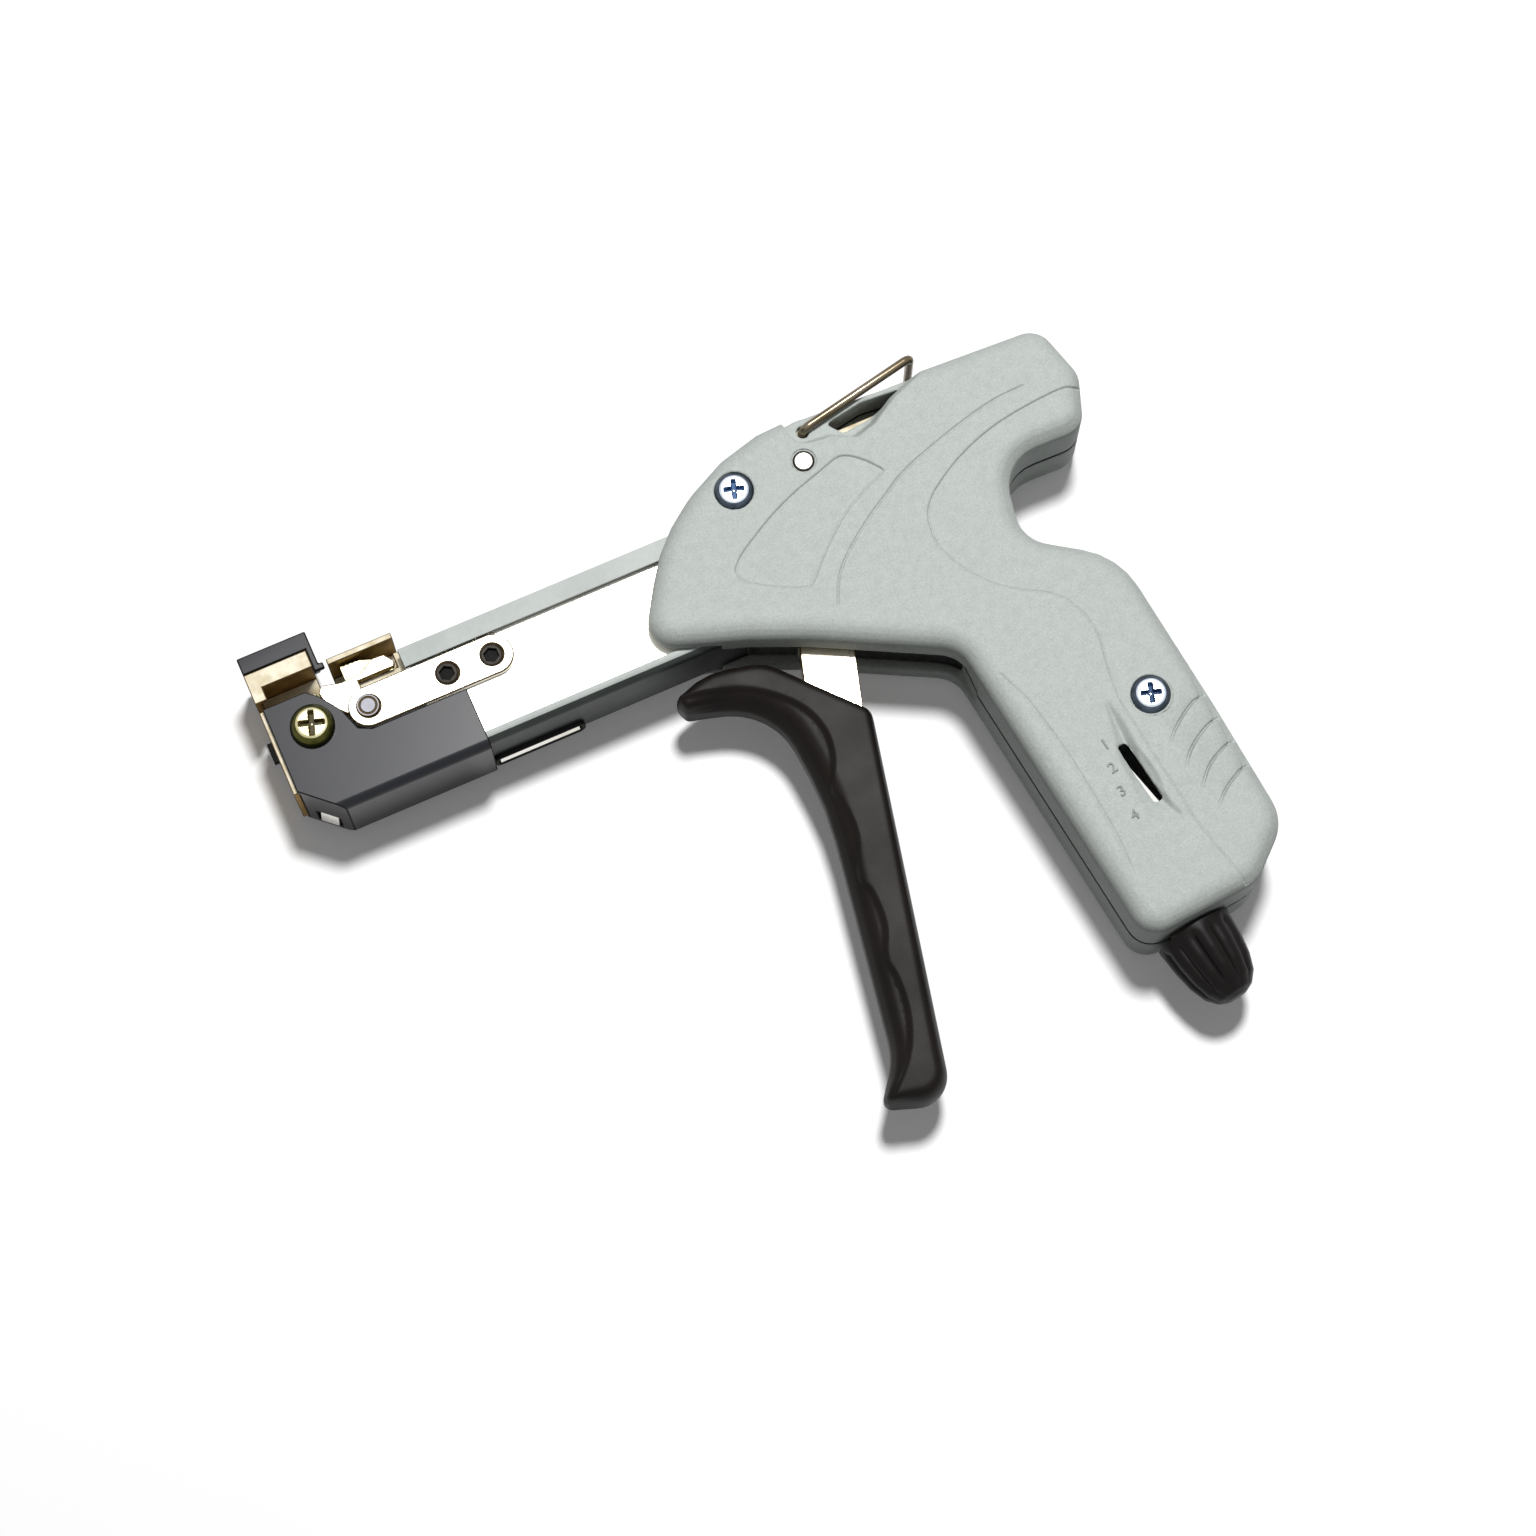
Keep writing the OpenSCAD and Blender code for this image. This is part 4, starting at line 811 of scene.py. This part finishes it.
def fastener(name, places, profile, head_d, head_h, shank_d, zones, node, body,
             depth=0, recess=no_recess, turn=0.0):
    """Round heads on shanks, with a recess.

    zones are (share of the radius, finish) from the middle out, and the recess's comes last.
    """
    low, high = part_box(node)
    top, foot = high[2] / MM, low[2] / MM
    share = np.linspace(HEAD_MIDDLE, 1, HEAD_RINGS)
    drop = read_off(profile, share) * head_h
    angles = np.linspace(0, 2 * math.pi, HEAD_AROUND, endpoint=False)
    cos_t, sin_t = math.cos(turn), math.sin(turn)
    bm = bmesh.new()
    for cx, cy in places:
        rings, marks = [], []
        for s, d in zip(share, drop):
            x, y = s * head_d / 2 * np.cos(angles), s * head_d / 2 * np.sin(angles)
            sunk = recess(x, y)
            z = top - d - depth * sunk
            rings.append(ring(bm, [(cx + a * cos_t - b * sin_t, cy + a * sin_t + b * cos_t, c)
                                   for a, b, c in zip(x, y, z)]))
            marks.append((s, sunk))
        for r, z in ((head_d / 2, top - head_h), (shank_d / 2, top - head_h),
                     (shank_d / 2, foot)):
            rings.append(ring(bm, [(cx + r * math.cos(a + turn), cy + r * math.sin(a + turn), z)
                                   for a in angles]))
            marks.append((1.0, np.zeros(HEAD_AROUND)))
        for faces, (s, sunk) in zip(skin(bm, rings), marks):
            zone = next((k for k, (reach, _) in enumerate(zones[:-1]) if s <= reach),
                        len(zones) - 2)
            for face, lower in zip(faces, sunk):
                face.material_index = len(zones) - 1 if lower > IN_RECESS else zone
        bm.faces.new(rings[0])
        bm.faces.new(rings[-1])
    bmesh.ops.recalc_face_normals(bm, faces=bm.faces)
    return add_zoned(name, mesh_of(bm, name, HEAD_CREASE), body, [look for _, look in zones],
                     node)


# The rims and cross recesses of the screw heads are in painted shade.
fastener("housing_screw_heads", SCREW_AT, PAN, head_d=8.4, head_h=2.6, shank_d=4.0,
         zones=[(0.68, BLUE_ZINC), (1, BLUE_RIM_SHADE), (1, BLUE_RECESS_SHADE)],
         node="housing_screws", body="frame",
         depth=1.2, recess=lambda x, y: cross(x, y, reach=2.2, width=0.95), turn=ALONG)
fastener("nose_screw_head", [NOSE_AT], PAN, head_d=9.0, head_h=2.6, shank_d=4.0,
         zones=[(0.7, ZINC), (1, OLIVE_RIM_SHADE), (1, OLIVE_RECESS_SHADE)],
         node="nose_screw", body="frame",
         depth=1.4, recess=lambda x, y: cross(x, y, reach=2.8, width=1.1), turn=ALONG)
# The hex recesses are in painted shade.
fastener("socket_heads", SOCKET_AT, SOCKET_HEAD, head_d=4.6, head_h=1.0, shank_d=3.0,
         zones=[(1, OXIDE_AND_SHADE), (1, BLACK_AND_RECESS_SHADE)],
         node="socket_screws", body="cutoff",
         depth=0.9, recess=lambda x, y: hexagon(x, y, across=2.7))
# The rivet's ring groove and its outer edge are in painted shade.
fastener("link_rivet", [LINK_AT], RIVET_HEAD, head_d=4.6, head_h=0.6, shank_d=3.0,
         zones=[(0.64, DISC), (0.84, EDGE_SHADE), (0.94, DISC), (1, EDGE_SHADE), (1, STEEL)],
         node="link_pin", body="cutter")
# The pin's chamfered rim is in painted shade.
fastener("pivot_pin", [PIVOT], PIN_HEAD, head_d=4.4, head_h=0.5, shank_d=4.38,
         zones=[(0.8, BRIGHT), (1, OXIDE_AND_SHADE), (1, STEEL)],
         node="trigger_pin", body="frame")


# Guide under the barrel, and the tab in the nose cover's window
def ring_loop(length, width, r):
    """A rounded rectangle's points about its middle."""
    loop = []
    for k, (sx, sy) in enumerate([(1, 1), (-1, 1), (-1, -1), (1, -1)]):
        for t in np.radians(90 * k + np.linspace(0, 90, CORNER_STEPS)):
            loop.append((sx * (length / 2 - r) + r * math.cos(t),
                         sy * (width / 2 - r) + r * math.sin(t)))
    return loop


def guide_frame(underside_y):
    """A black frame round the slot in the barrel's bottom, with softened lips."""
    bm = bmesh.new()
    rings = []
    for out, down in GUIDE_SECTION:
        loop = ring_loop(GUIDE_L + 2 * out, GUIDE_W + 2 * out, GUIDE_CORNER + out)
        rings.append(ring(bm, [(GUIDE_X + x, underside_y - down, GUIDE_Z + z) for x, z in loop]))
    skin(bm, rings + rings[:1])
    bmesh.ops.recalc_face_normals(bm, faces=bm.faces)
    mesh = mesh_of(bm, "guide_frame", CREASE)
    return add_piece("guide_frame", mesh, "frame", BLACK_AND_RECESS_SHADE)


def soft_bar(name, low, high, slope, turn, about, body, material):
    """A bar with rounded edges whose front leans back by slope, turned about Z at a point."""
    bm = bmesh.new()
    bmesh.ops.create_cube(bm, size=1)
    for v in bm.verts:
        v.co = Vector([(high[i] if v.co[i] > 0 else low[i]) * MM for i in range(3)])
        v.co.y += slope * v.co.z
    bmesh.ops.bevel(bm, geom=bm.edges[:], offset=BAR_EDGE * MM, segments=BAR_STEPS, profile=ROUND,
                    affect="EDGES")
    bm.transform(Matrix.Translation(Vector(about) * MM) @ Matrix.Rotation(turn, 4, "Z"))
    mesh = mesh_of(bm, name, CREASE)
    return add_piece(name, mesh, body, material)


barrel_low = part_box("barrel")[0][1] / MM
guide_frame(barrel_low)
soft_bar("guide_strip", STRIP_LOW, STRIP_HIGH, STRIP_SLOPE, 0, (GUIDE_X, barrel_low, GUIDE_Z),
         "frame", BRIGHT)
soft_bar("cover_tab", TAB_LOW, TAB_HIGH, TAB_SLOPE, TAB_TURN, TAB_AT, "frame", BRIGHT)


# Nut with its flag
def nut_moulding():
    """The nut with a flag that tapers to its upper end, seen through the window."""
    bm = flattened("tension_nut")
    ahead = Vector((math.sin(-HANDLE_TURN), math.cos(-HANDLE_TURN)))
    aside = Vector((math.cos(-HANDLE_TURN), -math.sin(-HANDLE_TURN)))
    highest = max(v.co.z for v in bm.verts)
    flag = [v for v in bm.verts if v.co.z > highest - FLAG_TOP * MM]
    along = [v.co.xy.dot(ahead) for v in flag]
    over = [v.co.xy.dot(aside) for v in flag]
    middle, edge = (max(along) + min(along)) / 2, min(over)
    for v, u, w in zip(flag, along, over):
        upper = u > middle
        to_u = u + FLAG_LONGER * MM if upper else u
        to_w = edge + (w - edge) * (FLAG_TIP if upper else FLAG_WIDE) - FLAG_LEFT * MM
        v.co.x, v.co.y = to_u * ahead.x + to_w * aside.x, to_u * ahead.y + to_w * aside.y
    mesh = mesh_of(bm, "nut_moulding", NUT_CREASE)
    return add_piece("nut_moulding", mesh, "nut", WHITE, "tension_nut")


nut_moulding()


# Knob
def knob():
    """A round knob whose flutes run out towards its end."""
    share = np.sin(np.linspace(0, 0.5 * math.pi, KNOB_RINGS))
    turn = np.linspace(0, 2 * math.pi, KNOB_AROUND, endpoint=False)
    dip = np.abs(np.cos(turn * FLUTES / 2)) ** FLUTE_POWER
    bm = bmesh.new()
    rings = []
    for s, r in zip(share, read_off(KNOB_PROFILE, share) * KNOB_D):
        starts, ends = smooth((s - FLUTE_FROM) / FLUTE_RISE), smooth((FLUTE_TO - s) / FLUTE_FADE)
        out = r * (1 - FLUTE_DEPTH * starts * ends * (1 - dip))
        rings.append(ring(bm, [(o * math.cos(t), o * math.sin(t), -(KNOB_GAP + s * KNOB_L))
                               for t, o in zip(turn, out)]))
    skin(bm, rings)
    bm.faces.new(rings[0])
    bmesh.ops.remove_doubles(bm, verts=bm.verts, dist=KNOB_WELD * MM)
    bmesh.ops.recalc_face_normals(bm, faces=bm.faces)
    bm.transform(placed(*KNOB_AT, 0, HANDLE_TURN) @ Matrix.Rotation(-math.pi / 2, 4, "X"))
    mesh = mesh_of(bm, "knob_moulding", CREASE)
    return add_piece("knob_moulding", mesh, "knob", KNOB, "knob")


knob()


# Bail
def bail():
    """The wire loop: half of its middle line, the mirrored half, and a tube along both."""
    r, bend = BAIL_BEND, np.radians(BEND_STEPS)
    half = [(0, EAR_IN), (0, BAIL_W / 2 - r)]
    half += [(r - r * math.cos(t), BAIL_W / 2 - r + r * math.sin(t)) for t in bend]
    half += [(BAIL_L / 2, BAIL_W / 2), (BAIL_L - r, BAIL_W / 2)]
    half += [(BAIL_L - r + r * math.sin(t), BAIL_W / 2 - r + r * math.cos(t)) for t in bend]
    path = half + [(x, -z) for x, z in reversed(half)]
    points = [Vector((x, 0, z)) for x, z in path]
    upward = Vector((0, 1, 0))
    bm = bmesh.new()
    rings = []
    for i, p in enumerate(points):
        ahead = (points[min(i + 1, len(points) - 1)] - points[max(i - 1, 0)]).normalized()
        across = upward.cross(ahead).normalized()
        rings.append(ring(bm, [p + BAIL_D / 2 * (across * math.cos(a) + upward * math.sin(a))
                               for a in np.linspace(0, 2 * math.pi, WIRE_AROUND, endpoint=False)]))
    skin(bm, rings)
    bm.faces.new(rings[0])
    bm.faces.new(rings[-1])
    bmesh.ops.recalc_face_normals(bm, faces=bm.faces)
    bm.transform(placed(*BAIL_AT, 0, BAIL_TURN))
    return add_piece("bail_wire", mesh_of(bm, "bail_wire", CREASE), "bail", WIRE, "bail")


bail()

# Raised numbers beside the window
for mark, x, y in NUMBERS:
    text = bpy.data.curves.new("number_" + mark, "FONT")
    text.body = mark
    text.size = NUMBER_H * FONT_SHARE * MM
    text.extrude = NUMBER_RISE * MM
    text.bevel_depth = NUMBER_EDGE * MM
    text.align_x = "CENTER"
    text.align_y = "CENTER"
    mesh = mesh_from(new_object("carrier", text))
    mesh.transform(placed(x, y, HALF_T, HANDLE_TURN))
    add_piece("number_" + mark, mesh, "frame", NUMBER_DARKER)

# Camera
turn_c, turn_s = math.cos(TURN), math.sin(TURN)
tilt_c, tilt_s = math.cos(TILT), math.sin(TILT)
RIGHT = np.array([turn_c, -turn_s, 0])
FLAT_UP = np.array([turn_s, turn_c, 0])
BACK = np.array([0, 0, tilt_c]) - tilt_s * FLAT_UP
UP = tilt_c * FLAT_UP + np.array([0, 0, tilt_s])
lens = bpy.data.cameras.new("camera")
lens.lens = LENS
lens.sensor_width = SENSOR
lens.clip_start, lens.clip_end = CLIP
camera = new_object("camera", lens)
camera.matrix_world = Matrix([[RIGHT[i], UP[i], BACK[i], CAMERA_AT[i] * MM] for i in range(3)]
                             + [[0, 0, 0, 1]])
bpy.context.scene.camera = camera


# Floor, world and lamp
def seen_rays(tree):
    """1 for a camera, glossy or transmission ray, and 0 for any other."""
    path = shader_node(tree, "LightPath")
    seen = path.outputs["Is Camera Ray"]
    for ray in ("Is Glossy Ray", "Is Transmission Ray"):
        either = shader_node(tree, "Math", operation="MAXIMUM")
        tree.links.new(seen, either.inputs[0])
        tree.links.new(path.outputs[ray], either.inputs[1])
        seen = either.outputs[0]
    return seen


def floor_finish():
    """White with a glow where it is seen, and a dull grey where it lights the object."""
    mat = bpy.data.materials.new("floor_white")
    mat.use_nodes = True
    tree = mat.node_tree
    tree.nodes.clear()
    link = tree.links.new
    ends = shader_node(tree, "OutputMaterial")
    both = shader_node(tree, "AddShader")
    chosen = shader_node(tree, "MixShader")
    white = shader_node(tree, "BsdfDiffuse", {"Color": [FLOOR_COLOUR] * 3 + [1]})
    dull = shader_node(tree, "BsdfDiffuse", {"Color": [FLOOR_BOUNCE] * 3 + [1]})
    glow = shader_node(tree, "Emission")
    lift = shader_node(tree, "Math", {1: FLOOR_LIFT}, operation="MULTIPLY")
    seen = seen_rays(tree)
    link(seen, lift.inputs[0])
    link(seen, chosen.inputs[0])
    link(dull.outputs[0], chosen.inputs[1])
    link(white.outputs[0], chosen.inputs[2])
    link(lift.outputs[0], glow.inputs["Strength"])
    link(chosen.outputs[0], both.inputs[0])
    link(glow.outputs[0], both.inputs[1])
    link(both.outputs[0], ends.inputs["Surface"])
    return mat


floor_mesh = bpy.data.meshes.new("floor")
floor_z = cad_box[0][2] - FLOOR_DROP
corners = [(x * FLOOR_HALF, y * FLOOR_HALF, floor_z)
           for x, y in ((-1, -1), (1, -1), (1, 1), (-1, 1))]
floor_mesh.from_pydata(corners, [], [(0, 1, 2, 3)])
floor = new_object("floor", floor_mesh)
floor_mesh.materials.append(floor_finish())

world = bpy.data.worlds.new("studio")
bpy.context.scene.world = world
world.use_nodes = True
sky = world.node_tree
back = sky.nodes["Background"]
back.inputs["Color"].default_value = (1, 1, 1, 1)
strength = shader_node(sky, "MapRange", {"To Min": WORLD, "To Max": 1.0})
sky.links.new(seen_rays(sky), strength.inputs["Value"])
sky.links.new(strength.outputs["Result"], back.inputs["Strength"])

lamp = bpy.data.lights.new("key", "AREA")
lamp.shape = "DISK"
lamp.size = KEY_SIZE
lamp.energy = KEY_POWER
key = new_object("key", lamp)
across = math.cos(KEY_ASIDE) * FLAT_UP + math.sin(KEY_ASIDE) * RIGHT
towards = math.sin(KEY_TILT) * across + np.array([0, 0, math.cos(KEY_TILT)])
key.location = Vector(KEY_AIM + KEY_FAR * towards)
key.rotation_euler = Vector(towards).to_track_quat("Z", "Y").to_euler()

view = bpy.context.scene.view_settings
view.view_transform = "Standard"
